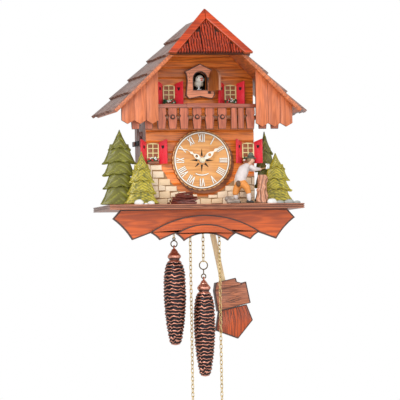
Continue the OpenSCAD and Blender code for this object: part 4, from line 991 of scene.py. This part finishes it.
class CUCKOO_OT_cuckoo(bpy.types.Operator):
    """Doorway plate, door and bird"""

    bl_idname = "cuckoo.cuckoo"
    bl_label = "Cuckoo"
    OPEN = math.radians(112)
    SILL = 143.5

    def execute(self, context):
        leaf = Vector((-math.sin(self.OPEN), math.cos(self.OPEN), 0))
        bordered("cuckoo_plate", "doorway_plate", ["Plate Wood", "Burnt Edge"], 0.9, 0.9)
        softened("cuckoo_door", "door_leaf", ["Door Wood", "Door Edge"], 0.3,
                 sort=lambda f: 0 if abs(f.normal.dot(leaf)) > 0.7 else 1)
        self.bird()
        bm = bmesh.new()
        outline(bm, [(-8.6, 143.6), (8.6, 143.6), (8.6, 157), (6, 163), (0, 165.8), (-6, 163), (-8.6, 157)],
                FRONT + 60, FRONT + 59.5)
        for x in (-9.8, 9.8):
            board(bm, (x, FRONT + 33, 154), (0.6, 55, 21), 0.1)
        board(bm, (0, FRONT + 33, 166.5), (19, 55, 0.6), 0.1)
        finish_piece(bm, "doorway_shadow_box", ["Darkness"], "case", "case_wood")
        bm = bmesh.new()
        for z in (163.4, 159.24, 155.34):
            blob(bm, (-13.6, FRONT - 6.05, z), (0.55, 0.35, 0.55), 10, 6)
        finish_piece(bm, "plate_pins", ["Aged Brass"], "case", "case_wood")
        return {"FINISHED"}

    def bird(self):
        bm = bmesh.new()
        z = self.SILL + 8.5
        back = Matrix.Rotation(math.radians(-35), 3, "X")
        blob(bm, (0, FRONT + 4.2, z + 0.2), (4.8, 6.4, 5.0), 26, 18, 0, back)
        blob(bm, (0.9, FRONT + 0.6, z + 4.9), (5.5, 4.9, 5.4), 24, 16, 0)
        for dz, w in ((5.8, 2.0), (3.6, 1.8)):
            blob(bm, (2.2, FRONT - 4.3, z + dz), (w, 1.6, 0.75), 14, 8, 1)
        for s in (-1, 1):
            blob(bm, (0.9 + s * 3.6, FRONT - 2.9, z + 6.9), (0.55, 0.55, 0.55), 10, 6, 2)
            blob(bm, (s * 5.0, FRONT + 6.5, z), (0.9, 6.0, 3.4), 14, 8, 3,
                Matrix.Rotation(math.radians(12), 3, "X"))
        board(bm, (0, FRONT + 13.5, z - 0.2), (4.4, 13, 1.6), 0.4, 3)
        board(bm, (0, FRONT + 2.5, z - 5.6), (1.8, 2.6, 4.8), 0.2, 4)
        board(bm, (0, FRONT + 14.5, self.SILL + 0.9), (5.8, 30.5, 1.3), 0.2, 4)
        finish_piece(bm, "bird_carving", ["Bird White", "Beak Red", "Eye Black", "Bird Wing", "Steel"],
            "bird",
                     "white_plastic", ("cuckoo_bird",))


# ---- dial and hands ---------------------------------------------------------


DIAL_Z = 55.5
DIAL_FACE = FRONT - 7


class CUCKOO_OT_dial(bpy.types.Operator):
    """Dial with its ring, numerals and star, the backing and the hands"""

    bl_idname = "cuckoo.dial"
    bl_label = "Dial and hands"

    def execute(self, context):
        softened("dial_disc", "dial_face", ["Dial Wood", "Dial Rim", "Star Black"], 0.5, 2,
            sort=self.dial_part)
        softened("dial_backing", "dial_backing_board", ["Cabinet Wood"], 0.6)
        self.numerals()
        softened("minute_hand", "minute_hand_carving", ["Ivory"], 0.2)
        softened("hour_hand", "hour_hand_carving", ["Ivory"], 0.2)
        softened("hand_nut", "nut", ["Ivory Nut"], 0.35, 3)
        self.shade_lines()
        return {"FINISHED"}

    def widen(self, bm, width):
        """Moves every side wall outwards by a width in millimetres."""
        for vert in bm.verts:
            side = Vector((vert.normal.x, 0, vert.normal.z))
            if side.length > 0.1:
                vert.co += side.normalized() * width * MM

    def numerals(self):
        """White ring and tall numerals over a slightly wider dark copy, a painted shadow round them."""
        bm = copy_of("dial_numerals")
        for vert in bm.verts:
            x, z = vert.co.x / MM, vert.co.z / MM + HOLE_HEIGHT - DIAL_Z
            r, a = math.hypot(x, z), math.atan2(x, z)
            if r < 33.0:
                home = round(a / math.radians(30)) * math.radians(30)
                r, a = 28.2 + (r - 28.2) * 1.22, home + (a - home) * 1.12
                vert.co = at(r * math.sin(a), vert.co.y / MM, DIAL_Z + r * math.cos(a))
        bm.normal_update()
        painted_shading = bm.copy()
        self.widen(painted_shading, 0.42)
        for vert in painted_shading.verts:
            if vert.co.y / MM < DIAL_FACE - 0.2:
                vert.co.y = (DIAL_FACE - 0.16) * MM
        self.widen(bm, 0.16)
        finish_piece(bm, "numerals", ["Ring White"], *own("dial_numerals"))
        finish_piece(painted_shading, "numeral_painted_shadow", ["Burnt Edge"], *own("dial_numerals"))

    def dial_part(self, face):
        c = face.calc_center_median()
        x, z = c.x / MM, c.z / MM + HOLE_HEIGHT - DIAL_Z
        r = math.hypot(x, z)
        if r > 35.6 and abs(face.normal.y) < 0.8:
            return 1
        if r < 16 and (abs(face.normal.y) < 0.6 or c.y / MM > DIAL_FACE + 0.8) and c.y / MM < DIAL_FACE + 1.9:
            return 2
        return 0

    def shade_lines(self):
        """The thin dark line of painted shadow outside the white ring."""
        bm = bmesh.new()

        def shape(u, v):
            a = 2 * math.pi * u
            r = 35.6 + 0.7 * v
            return at(r * math.cos(a), DIAL_FACE - 0.08, DIAL_Z + r * math.sin(a)), 0.0

        skin(bm, 96, 1, shape)
        bmesh.ops.solidify(bm, geom=bm.faces[:], thickness=0.06 * MM)
        finish_piece(bm, "dial_rim_line", ["Burnt Edge"], "case", "case_wood")


# ---- shelf scene --------------------------------------------------------


class CUCKOO_OT_firs(bpy.types.Operator):
    """Carved firs at both ends of the shelf"""

    bl_idname = "cuckoo.firs"
    bl_label = "Firs"

    def execute(self, context):
        # each tier: its top, the height of its tips, and its half width to the left and to the right
        tall = [(94, 67, 15.0, 15.0), (76, 50, 23, 22.0), (62, 35, 23, 21.5), (46, 19, 22.5, 21.0),
            (31, 1, 26, 24)]
        small = [(66, 40, 12.0, 12), (50, 26, 17, 16.5), (36, 12, 20, 19), (22, 1, 23.5, 22)]
        bm = bmesh.new()
        self.fir(bm, (-104.5, -74), tall, 7.0, 0, 1)
        self.fir(bm, (-80, -89), small, 6.2, 1, 2)
        finish_piece(bm, "fir_carvings_left", ["Fir Dark", "Fir Light"], "case", "fir_paint", ("firs_left",),
            50)
        bm = bmesh.new()
        self.fir(bm, (85.5, -56), [(92, 62, 9.5, 11.5), (72, 40, 13, 15), (50, 20, 14, 16), (30, 2, 15, 16)],
            6.0, 0, 3)
        self.fir(bm, (94.5, -75), [(64, 42, 11, 13), (50, 28, 16, 19), (36, 15, 19, 22), (22, 1, 22, 25)],
            6.4, 1, 4)
        finish_piece(bm, "fir_carvings_right", ["Fir Dark", "Fir Light"], "case", "fir_paint",
            ("firs_right",), 50)
        return {"FINISHED"}

    def fir(self, bm, foot, tiers, thick, material, seed):
        """One fir: a skirt for each tier, with drooping tips and V cuts in its faces."""
        x, y = foot
        count = len(tiers)
        for index in reversed(range(count)):
            top, tip, left, right = tiers[index]
            last = index == count - 1

            def shape(u, v):
                a = 2 * math.pi * u
                ca, sa = math.cos(a), math.sin(a)
                half = right if ca > 0 else left
                neck = 0.02 if index == 0 else 0.52
                # a flowing side line: slim at the top, sweeping out to the tips
                t = min(1.0, v / 0.92)
                flare = neck + (1 - neck) * (0.55 * t + 0.45 * t ** 2.6)
                if index == 0:
                    flare = 0.02 + 0.98 * (0.75 * t + 0.25 * t ** 3)
                rim = abs(ca) ** 1.5
                low = tip + (0 if last else (1 - rim) * 3.0)
                z = top + (low - top) * t
                notch = 0.0
                if not last or material == 1:
                    notch = 2.2 * abs(math.sin(a * 5.0 + index)) * max(0, t - 0.8) / 0.2
                z += notch if not last else notch * 0.4
                w = half * flare
                d = thick * (0.35 + 0.65 * t)
                px = w * ca * abs(ca) ** -0.15 if abs(ca) > 1e-6 else 0.0
                py = d * sa * abs(sa) ** -0.25 if abs(sa) > 1e-6 else 0.0
                # chevron cuts down the face
                side = px / max(half, 1)
                rows = 5.5 if material == 1 else 3.2
                ph = t * rows - abs(side) * (3.2 if material == 1 else 2.0) + 0.25 * rough((px, z, seed), 6)
                cut = max(0.0, 1 - abs((ph - math.floor(ph)) - 0.5) * 4.2) * (1 - abs(ca) ** 4)
                ribs = 0.0
                if material == 1:
                    fan = (px / (0.6 + t)) * 0.62 + 0.8 * rough((px, z, seed), 4)
                    ribs = max(0.0, 1 - abs((fan - math.floor(fan)) - 0.5) * 3.4) * 0.8
                depth = max(cut, ribs)
                py -= math.copysign(0.9 * depth, sa) * min(1, abs(sa) * 2)
                px += 0.5 * rough((px, py, z + seed * 9), 5)
                if v > 0.92:
                    # underside of the skirt
                    s = (v - 0.92) / 0.08
                    px *= 1 - 0.75 * s
                    py *= 1 - 0.8 * s
                    z += (0 if last else 2.2) * s
                    return at(x + px, y + py, max(0.0, z)), 0.0
                return at(x + px, y + py, max(0.0, z)), depth

            skin(bm, 56, 30, shape, material)
            closed(bm)


class CUCKOO_OT_ground(bpy.types.Operator):
    """Stone wall, wood pile, pebbles, stump and logs"""

    bl_idname = "cuckoo.ground"
    bl_label = "Stones and wood"
    EDGE = ((-69, 53), (-60, 52), (-52, 48), (-46, 41), (-43, 35), (-36, 27), (-30, 20), (-12, 12), (12, 12),
        (26, 19),
            (38, 29), (48, 36), (69, 37))

    def execute(self, context):
        self.wall()
        self.pile()
        self.pebbles()
        self.stump()
        return {"FINISHED"}

    def wall(self):
        rng = random.Random(3)
        bm = bmesh.new()
        outline(bm, [(-68.9, 0), (68.9, 0), (68.9, 36)] + [(x, z - 1.5) for x,
            z in reversed(self.EDGE[1:-1])] + [(-68.9, 51.5)],
                FRONT, FRONT - 1.1, 0.2, 1)
        z = 0.3
        while z < 54:
            h = rng.uniform(7.2, 10.0)
            x = -68.8 - rng.uniform(0, 6)
            while x < 68.5:
                w = rng.uniform(9.0, 17.0)
                x0, x1 = max(x, -68.8), min(x + w, 68.8)
                top = min(z + h, between(self.EDGE, (x0 + x1) / 2) + rng.uniform(-1.0, 1.2))
                centre = ((x0 + x1) / 2, (z + top) / 2)
                hidden = math.hypot(centre[0] - 3.5, centre[1] - (DIAL_Z - 3)) < 34
                if x1 - x0 > 3 and top - z > 4.0 and not hidden:
                    lean = [rng.uniform(-1.3, 1.3) for _ in range(4)]
                    points = [(x0 + 0.25, z + 0.25 + max(0, lean[0])),
                        (x1 - 0.25, z + 0.25 + max(0, lean[1])),
                              (x1 - 0.3 - abs(lean[2]) * 0.4,
                              top - 0.25 + lean[2]), (x0 + 0.3 + abs(lean[3]) * 0.4, top - 0.25 + lean[3])]
                    face = FRONT - 2.2 - rng.uniform(0, 0.9)
                    outline(bm, points, FRONT - 0.8, face, 0.5, 0 if rng.random() < 0.7 else 2)
                x += w
            z += h
        finish_piece(bm, "stone_courses", ["Stone Cream", "Stone Joint", "Stone Warm"], "case",
            "stone_paint", ("stone_wall",))

    def pile(self):
        """Split sticks in a heap, their cut ends to the left."""
        rng = random.Random(8)
        bm = bmesh.new()
        for layer in range(6):
            for k in range(7 - layer):
                half = rng.uniform(13, 18.0) - layer * 1.2
                cx = -30 + rng.uniform(-3.0, 3.0) + layer * 0.6
                cy = -98.5 + (k + 0.5 * layer) * 1.9 + rng.uniform(-0.5, 0.5)
                cz = 1.4 + layer * 2.35 + rng.uniform(-0.2, 0.4)
                yaw = rng.uniform(-0.30, 0.30)
                tilt = rng.uniform(-0.16, 0.16)
                r = rng.uniform(1.0, 1.45)
                axis = Vector((math.cos(yaw), math.sin(yaw), math.sin(tilt)))
                a = Vector((cx, cy, cz)) - axis * half
                b = Vector((cx, cy, cz)) + axis * half
                a.z, b.z = max(r, a.z), max(r, b.z)
                self.stick(bm, a, b, r, rng)
        finish_piece(bm, "split_sticks", ["Bark", "Cut End"], "case", "bark", ("wood_pile",), 40)

    def stick(self, bm, a, b, r, rng):
        """One split stick with seven uneven sides and flat sawn ends."""
        ahead = (b - a).normalized()
        side = ahead.cross(Vector((0, 0, 1))).normalized()
        up = side.cross(ahead)
        sides = [r * rng.uniform(0.75, 1.15) for _ in range(7)]
        bow = side * rng.uniform(-0.5, 0.5) + up * rng.uniform(-0.3, 0.3)

        def shape(u, v):
            k = round(u * 7) % 7
            step = round(v * 6)
            t = min(max(step - 1, 0), 4) / 4
            radius = 0.0 if step in (0, 6) else sides[k] * (1 + 0.1 * math.sin(k * 2.3 + step * 1.9))
            angle = 2 * math.pi * k / 7
            p = a.lerp(b, t) + bow * math.sin(math.pi * t)
            p += (side * math.cos(angle) + up * math.sin(angle)) * radius
            return at(*p), 0.0

        skin(bm, 7, 6, shape, lambda f: 1 if abs(f.normal.dot(ahead)) > 0.8 else 0)

    def pebbles(self):
        rng = random.Random(21)
        bm = bmesh.new()
        stones = [(-86, -98.8, 5.8, 3.0, 5.6, 0), (-70.5, -98.8, 5.0, 3.0, 3.8, 0),
            (-77.5, -100.5, 2.4, 2.0, 1.8, 0),
                  (83.5, -98.9, 6.4, 3.1, 5.4, 0), (94, -98.6, 5.2, 2.9, 3.4, 1), (106, -98.4, 6.6, 3.0, 4.4,
                  1),
                  (116, -98.6, 4.2, 2.8, 3.0, 1)]
        for x, y, rx, ry, rz, material in stones:
            seed = rng.uniform(0, 50)

            def warp(p, u, v):
                lump = 1 + 0.16 * rough((p.x, p.y, p.z), 5, seed)
                p = Vector((p.x * lump, p.y * lump, max(p.z * lump, -rz * 0.35)))
                return p, 0.0

            blob(bm, (x, y, rz * 0.35), (rx, ry, rz * 0.8), 20, 12, material, None, warp)
        finish_piece(bm, "pebble_set", ["Pebble White", "Pebble Grey"], "case", "pebble", ("pebbles",), 60)

    def stump(self):
        """The chopping stump with its knobs, and two short grey logs beside the chopper."""
        bm = bmesh.new()

        def shape(u, v):
            a = 2 * math.pi * u
            out = Vector((math.cos(a), math.sin(a), 0))
            if v < 0.08:
                return at(73, CHOPPER_Y, 36) + out * (5.4 * v / 0.08) * MM, 0.3
            t = (v - 0.08) / 0.92
            z = 36 * (1 - t)
            knob = 1.2 * max(0, noise.noise(Vector((math.cos(a) * 1.2, math.sin(a) * 1.2, z / 7)))) * 3
            r = 5.4 + 2.4 * t ** 2 + knob
            groove = max(0.0, math.sin(a * 6 + 2.2 * math.sin(z / 8))) ** 3
            r -= 0.9 * groove
            return at(73, CHOPPER_Y, z) + out * r * MM, groove

        skin(bm, 48, 26, shape)
        closed(bm)
        for x, y, z, long, yaw in ((35, -95, 3.2, 14, 0.10), (36, -86, 3.4, 12, -0.14),
                (31, -91, 6.6, 9, 0.02)):
            middle, half = Vector((x, y, z)), Vector((math.cos(yaw), math.sin(yaw), 0)) * (long / 2)
            tube(bm, [middle - half, middle + half], [3.0, 2.8], 14, 6, 1, 1.0,
                 lambda t, u: 1 + 0.1 * math.sin(u * 31 + t * 3))
        board(bm, (54, CHOPPER_Y, 0.6), (46, 20, 1.2), 0.4, 2)
        finish_piece(bm, "stump_and_logs", ["Stump Wood", "Grey Log", "Pouch Brown"], "case", "stump_wood",
                     ("chopping_stump",), 50)


class CUCKOO_OT_chopper(bpy.types.Operator):
    """The wood-chopper and the arms that swing the axe"""

    bl_idname = "cuckoo.chopper"
    bl_label = "Wood-chopper"

    def execute(self, context):
        y = CHOPPER_Y
        bm = bmesh.new()
        # front leg, back leg, socks and shoes
        tube(bm, [(47, y - 3.2, 26), (52.5, y - 4.6, 20), (54.5, y - 4.6, 13.5)], [5.2, 4.2, 3.1], 16, 4, 1)
        tube(bm, [(45.5, y + 3.2, 26), (41.5, y + 4.6, 19), (39.5, y + 4.8, 12.5)], [5.4, 4.6, 3.6], 16, 4, 1)
        for x, dy in ((54.6, -4.6), (40, 4.8)):
            tube(bm, [(x, y + dy, 13.5), (x + 0.2, y + dy, 8), (x + 0.6, y + dy, 3)], [2.6, 3.0, 1.9], 14, 3,
                0)
            tube(bm, [(x - 2.0, y + dy, 2.6), (x + 2.4, y + dy, 2.5), (x + 5.6, y + dy, 2.0)],
                [2.2, 2.2, 1.5], 14, 3, 2)
        # body bent forward in its shirt
        tube(bm, [(46, y, 25), (45.5, y, 33), (49.5, y, 42), (55, y, 47.5)], [6.2, 6.9, 6.9, 4.4], 24, 5, 0,
            0.95,
             lambda t, u: 1 + 0.035 * math.sin(u * 44 + 9 * t))
        tube(bm, [(46.2, y, 23.5), (45.8, y, 27.5)], [6.7, 6.9], 22, 2, 1)
        blob(bm, (41.5, y - 5.2, 25), (3.2, 2.2, 4.0), 14, 10, 3)
        # neck, head, nose, hair and hat
        tube(bm, [(56, y, 48), (58.2, y, 51)], [2.6, 2.4], 14, 2, 4)
        blob(bm, (59.3, y, 54.2), (3.9, 3.5, 4.4), 20, 14, 4)
        blob(bm, (63.1, y, 53.6), (0.9, 0.7, 0.9), 10, 8, 4)
        blob(bm, (62.4, y, 51.2), (1.2, 1.9, 0.9), 12, 8, 5)
        for s in (-1, 1):
            blob(bm, (62.5, y + 1.4 * s, 55.2), (0.4, 0.4, 0.45), 8, 6, 6)
            blob(bm, (59.0, y + 3.5 * s, 54.0), (0.9, 0.5, 1.1), 10, 8, 4)
        blob(bm, (57.2, y, 55.0), (3.3, 3.7, 3.2), 18, 12, 5)
        lean = Matrix.Rotation(math.radians(6), 3, "Y")
        blob(bm, (59.2, y, 57.4), (7.0, 6.2, 1.0), 28, 8, 7, lean,
             lambda p, u, v: (Vector((p.x, p.y, p.z + 0.022 * (p.y * p.y) * 1.3 - 0.012 * p.x * p.x)), 0.0))
        tube(bm, [(59.0, y, 57.6), (59.0, y, 60.2), (59.2, y, 62.6)], [4.3, 3.9, 3.0], 20, 3, 7,
             1.0, lambda t, u: 1 - 0.10 * max(0, t - 0.6) * (1 + math.cos(4 * math.pi * u)))
        tube(bm, [(59.0, y, 58.2), (59.0, y, 59.3)], [4.5, 4.4], 20, 1, 2)
        finish_piece(bm, "chopper_carving",
                     ["Shirt White", "Trouser Tan", "Shoe Black", "Pouch Brown", "Skin", "Hair", "Eye Black",
                     "Hat Green"],
                     "case", "figure_paint", ("chopper_figure",), 60)
        bm = bmesh.new()
        for s in (-1, 1):
            tube(bm, [(57, y + 8.3 * s, 46.2), (61.5, y + 7.6 * s, 43.2), (66, y + 5.0 * s, 43.0),
                (69.4, y + 2.6 * s, 43.2)],
                 [2.7, 2.9, 2.3, 1.7], 16, 4, 0, 1.0, lambda t, u: 1 + 0.05 * math.sin(u * 38 + 12 * t))
            blob(bm, (70.4, y + 1.8 * s, 43.1), (1.9, 1.7, 1.9), 14, 10, 1)
        tube(bm, [(66, y, 42.0), (74, y, 43.9), (82.6, y, 46.0)], [0.8, 0.8, 0.7], 12, 4, 2)
        outline(bm, [(77.6, 43.2), (82.6, 43.8), (83.0, 47.6), (82.6, 49.8), (77.4, 50.2), (78.6, 47.4)],
            y + 1.1, y - 1.1, 0.35, 3)
        finish_piece(bm, "chopper_arm_carving", ["Shirt White", "Skin", "Handle Wood", "Axe Steel"],
            "chopper_arms",
                     "figure_paint", ("chopper_arms",), 55)
        return {"FINISHED"}


# ---- weights, chains, pendulum and movement ----------------------------------


class CUCKOO_OT_weights(bpy.types.Operator):
    """Fir-cone weights with their eyes, and the chains"""

    bl_idname = "cuckoo.weights"
    bl_label = "Weights and chains"

    def execute(self, context):
        self.cone("going_cone", "going_cone_casting", -29.5, -49, 1.07)
        self.cone("strike_cone", "strike_cone_casting", 8.0, -89, 1.03)
        for node in ("going_chain_load", "going_chain_free", "strike_chain_load", "strike_chain_free"):
            dress(node, "Brass", "Dark Brass")
            if node.endswith("load"):
                mesh = NODES[node].data
                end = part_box(node)[0].z + (20.5 if node.startswith("strike") else 12.0) * MM
                for face in mesh.polygons:
                    face.material_index = 1 if face.center.z < end else 0
        return {"FINISHED"}

    PROFILE = ((0, 7.1), (3, 9.4), (8, 11.2), (15, 12.6), (27, 13.4), (46, 13.5), (62, 12.8), (77, 11.4),
        (88, 9.8),
               (98, 8.2), (103, 6.8), (105, 4.8), (106, 0.2))

    KNOB = ((0, 0.8), (2, 3.2), (5, 4.8), (7.5, 7.0), (9.5, 8.4), (11.5, 8.3), (13.5, 6.8), (15, 6.3),
        (16.4, 7.3))

    def cone(self, node, name, x, top, wide):
        """A cast weight: a knob and neck under the eye, then rows of wavy scales."""
        rows = sizes().scale_rows
        bm = bmesh.new()
        y = CHAIN_Y
        base = top - 20.0

        def scales(u, v):
            a = 2 * math.pi * u
            d = self.PROFILE[-1][0] * v
            r = between(self.PROFILE, d) * wide
            ring = (math.cos(a) * 13, math.sin(a) * 13, d)
            p = d / 104.0 * rows + 0.46 * rough(ring, 6) + 0.13 * math.sin(9 * a + 5 * rough(ring, 11, 3))
            f = p - math.floor(p)
            lip = math.sin(math.pi * f / 0.56) if f < 0.56 else 0.0
            lip *= 0.9 + 0.35 * rough((ring[0], ring[1], d * 1.7), 3, 4)
            fade = min(1.0, d / 3.0) * min(1.0, max(0.0, (105.5 - d) / 3.0))
            r = r - 1.15 * fade + 1.25 * lip * fade
            return at(x + r * math.cos(a), y + r * math.sin(a), base - d), (1 - lip) * fade

        skin(bm, 104, 280, scales)

        def knob(u, v):
            a = 2 * math.pi * u
            d = v * 16.4
            r = between(self.KNOB, d, ease=True) + 0.35 * rough((math.cos(a) * 5, math.sin(a) * 5, d), 3, 9)
            return at(x + r * math.cos(a), y + r * math.sin(a),
                top - 4.0 - d), 0.6 if 12.5 < d < 15.6 else 0.0

        skin(bm, 40, 26, knob)
        closed(bm)

        def eye(u, v):
            a, b = 2 * math.pi * u, 2 * math.pi * v
            r = 2.2 + 0.8 * math.cos(b)
            return at(x + 0.8 * math.sin(b), y + r * math.cos(a), top - 3.0 + r * math.sin(a)), 0.0

        skin(bm, 28, 12, eye)
        finish_piece(bm, name, ["Cone Bronze"], BODY_OF[node], "cone_iron", (node,), 60)


PIVOT = 96
SWING = math.radians(11.5)


class CUCKOO_OT_pendulum(bpy.types.Operator):
    """Pendulum lath and its carved bob"""

    bl_idname = "cuckoo.pendulum"
    bl_label = "Pendulum"

    def execute(self, context):
        softened("pendulum_stick", "pendulum_lath", ["Pine Wood"], 0.35)
        self.bob()
        return {"FINISHED"}

    def bob(self):
        """A little house: a ridge, a grooved block and a leaf below it, with painted shade at the edges."""
        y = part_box("pendulum_bob")[1].y / MM
        lean = Matrix.Translation(at(0, y, PIVOT)) @ Matrix.Rotation(-SWING, 4, "Y")
        place = lean @ Matrix.Translation(-at(0, 0, 0))
        rng = random.Random(14)
        bm = bmesh.new()
        ridge = [(-12, -194.5), (15, -194), (15.5, -199), (21, -201.8), (21, -204), (-15.5, -204)]
        block = [(-15.5, -203), (27.5, -201.5), (27.5, -229), (-17, -230.5)]
        leaf = [(-14.8, -230), (22.6, -230), (26.2, -251), (2.4, -270), (-24, -253.5)]
        for points, front, finish in ((leaf, -5.2, 1), (block, -7.8, 0), (ridge, -9.2, 0)):
            # a dark backing slab under each layer shows a rim of painted shade round it
            outline(bm, points, 0.0, front, 0, 2, place)
            inner = self.shrunk(points, 1.3)
            outline(bm, inner, front + 0.6, front - 0.35, 0.3, finish, place)
        # thin dark slivers on the block and the leaf are painted shade in their grooves
        for _ in range(9):
            cx, cz, long = rng.uniform(-3, 13), rng.uniform(-226, -206), rng.uniform(4, 11)
            outline(bm, [(cx - long, cz), (cx + long, cz + 0.5), (cx + long * 0.6, cz + 1.0)], -8.1, -8.3, 0,
                2, place)
        for k in range(9):
            cx = -12 + k * 4 + rng.uniform(-1, 1)
            low_z = -246 - rng.uniform(0, 8)
            outline(bm, [(cx - 0.5, -232), (cx + 0.5, -232), (cx + (cx - 1) * 0.14 + 0.2, low_z)], -5.4,
                -5.7, 0, 2, place)
        finish_piece(bm, "bob_carving", ["Bob Wood", "Bob Leaf", "Burnt Edge"], *own("pendulum_bob"))

    def shrunk(self, points, width):
        """The outline with its corners moved inwards, so that a border of about the width stays free."""
        cx = sum(p[0] for p in points) / len(points)
        cz = sum(p[1] for p in points) / len(points)
        made = []
        for x, z in points:
            away = math.hypot(x - cx, z - cz)
            made.append((x - (x - cx) / away * width * 1.3, z - (z - cz) / away * width * 1.3))
        return made

class CUCKOO_OT_movement(bpy.types.Operator):
    """Brass movement, bellows, gong and hammer inside the case"""

    bl_idname = "cuckoo.movement"
    bl_label = "Movement"

    def execute(self, context):
        for node in ("movement_frame", "minute_wheel", "going_wheel", "strike_wheel", "escape_wheel"):
            dress(node, "Wheel Brass")
        for node in ("centre_arbor", "anchor", "gong_hammer"):
            dress(node, "Steel")
        dress("gong", "Blued Steel")
        softened("bellows_boxes", "bellows_cases", ["Pine Wood"], 0.4)
        for side in ("left", "right"):
            self.lid("bellows_lid_" + side, side)
        return {"FINISHED"}

    def lid(self, node, side):
        """The pleated cloth top of a bellows."""
        low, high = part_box(node)
        bm = copy_of(node, 0.3)
        middle = (low + high) / 2
        for k in range(3):
            shrink = 0.8 + 0.5 * (k % 2)
            z = low.z / MM + HOLE_HEIGHT + 0.5 + k * 0.7
            board(bm, (middle.x / MM, middle.y / MM - 2.4, z), (10.4 + shrink, 22, 0.5), 0.15, 1)
        finish_piece(bm, "bellows_top_" + side, ["Pine Wood", "Cloth"], BODY_OF[node], "bellows_cloth",
            (node,))


# ---- stage ------------------------------------------------------------------


VIEW_SHIFT = 0.32
VIEW_TURN = math.radians(13.0)
EYE_DISTANCE = 4.3
EYE_HEIGHT = -0.3438
ROLL = 0.0172


class CUCKOO_OT_stage(bpy.types.Operator):
    """Pale floor, soft lights and the camera"""

    bl_idname = "cuckoo.stage"
    bl_label = "Stage"

    def execute(self, context):
        self.floor()
        self.lights()
        self.camera()
        return {"FINISHED"}

    def floor(self):
        bm = bmesh.new()
        bmesh.ops.create_grid(bm, x_segments=1, y_segments=1, size=1.3)
        low = min(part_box(n)[0].z for n in ("going_chain_free", "strike_chain_free"))
        bmesh.ops.translate(bm, vec=(0, 0, low - 0.09), verts=bm.verts)
        mesh = bpy.data.meshes.new("floor")
        bm.to_mesh(mesh)
        bm.free()
        floor = bpy.data.objects.new("floor", mesh)
        bpy.context.scene.collection.objects.link(floor)
        material, tree, shader, vector = start_material("Floor Pale")
        speckle = place_group(tree, speckle_group(), Color=(0.84, 0.84, 0.84, 1), Tint=(0.80, 0.80, 0.80, 1),
                              Amount=0.3, Scale=40.0, Roughness=0.8)
        tree.links.new(vector, speckle.inputs["Vector"])
        tree.links.new(speckle.outputs["Color"], shader.inputs["Base Color"])
        shader.inputs["Roughness"].default_value = 0.85
        mesh.materials.append(material)

    def lights(self):
        world = bpy.data.worlds.new("Studio")
        bpy.context.scene.world = world
        world.use_nodes = True
        tree = world.node_tree
        back = tree.nodes["Background"]
        back.inputs["Color"].default_value = (1, 1, 1, 1)
        # white to the eye, softer as light
        path = add(tree, "ShaderNodeLightPath")
        tree.links.new(ramp(tree, path.outputs["Is Camera Ray"], [(0.0, 0.56), (1.0, 1.0)]),
            back.inputs["Strength"])
        bpy.context.scene.view_settings.view_transform = "Standard"
        for name, place, aim, size, power in (
            ("key", (-1.3, -1.9, 1.1), (0, 0, -0.1), 1.4, 37),
            ("fill", (1.6, -1.7, 0.3), (0, 0, -0.15), 1.6, 12),
            ("front", (-0.3, -2.4, -0.3), (0, 0, -0.25), 1.2, 10),
        ):
            light = bpy.data.lights.new(name, "AREA")
            light.size = size
            light.energy = power
            lamp = bpy.data.objects.new(name, light)
            lamp.location = place
            lamp.rotation_euler = (Vector(aim) - Vector(place)).to_track_quat("-Z", "Y").to_euler()
            bpy.context.scene.collection.objects.link(lamp)

    def camera(self):
        camera = bpy.data.cameras.new("view")
        camera.sensor_width = 36.0
        camera.lens = 309.6
        camera.shift_y = VIEW_SHIFT
        camera.clip_end = 50.0
        eye = bpy.data.objects.new("view", camera)
        ahead = Vector((math.sin(VIEW_TURN), math.cos(VIEW_TURN), 0))
        eye.location = Vector((-0.00415, FRONT * MM + 0.0008, EYE_HEIGHT)) - ahead * EYE_DISTANCE
        eye.rotation_mode = "QUATERNION"
        roll = Matrix.Rotation(-ROLL, 4, "Z").to_quaternion()
        eye.rotation_quaternion = ahead.to_track_quat("-Z", "Y") @ roll
        bpy.context.scene.collection.objects.link(eye)
        bpy.context.scene.camera = eye


class CUCKOO_PT_panel(bpy.types.Panel):
    """Lists the clock's pieces and settings"""

    bl_idname = "CUCKOO_PT_panel"
    bl_label = "Cuckoo Clock"
    bl_space_type = "VIEW_3D"
    bl_region_type = "UI"
    bl_category = "Cuckoo Clock"

    def draw(self, context):
        layout = self.layout
        for settings in (woods(), paints(), sizes()):
            column = layout.column()
            for name in settings.bl_rna.properties.keys():
                if name not in {"rna_type", "name"}:
                    column.prop(settings, name)
        for operator in PIECES:
            layout.operator(operator.bl_idname)


PIECES = (CUCKOO_OT_case, CUCKOO_OT_roof, CUCKOO_OT_balcony, CUCKOO_OT_windows, CUCKOO_OT_cuckoo,
    CUCKOO_OT_dial,
          CUCKOO_OT_firs, CUCKOO_OT_ground, CUCKOO_OT_chopper, CUCKOO_OT_weights, CUCKOO_OT_pendulum,
          CUCKOO_OT_movement, CUCKOO_OT_stage)
SETTINGS = (("cuckoo_woods", CuckooWoodSettings), ("cuckoo_paints", CuckooPaintSettings),
            ("cuckoo_sizes", CuckooSizeSettings))


def register():
    for name, group in SETTINGS:
        bpy.utils.register_class(group)
        setattr(bpy.types.Scene, name, bpy.props.PointerProperty(type=group))
    for item in PIECES:
        bpy.utils.register_class(item)
    bpy.utils.register_class(CUCKOO_PT_panel)


def unregister():
    bpy.utils.unregister_class(CUCKOO_PT_panel)
    for item in reversed(PIECES):
        bpy.utils.unregister_class(item)
    for name, group in reversed(SETTINGS):
        delattr(bpy.types.Scene, name)
        bpy.utils.unregister_class(group)


def main():
    register()
    plain_finishes()
    carved_finishes()
    for piece in PIECES:
        area, name = piece.bl_idname.split(".")
        getattr(getattr(bpy.ops, area), name)()


if __name__ == "__main__":
    main()
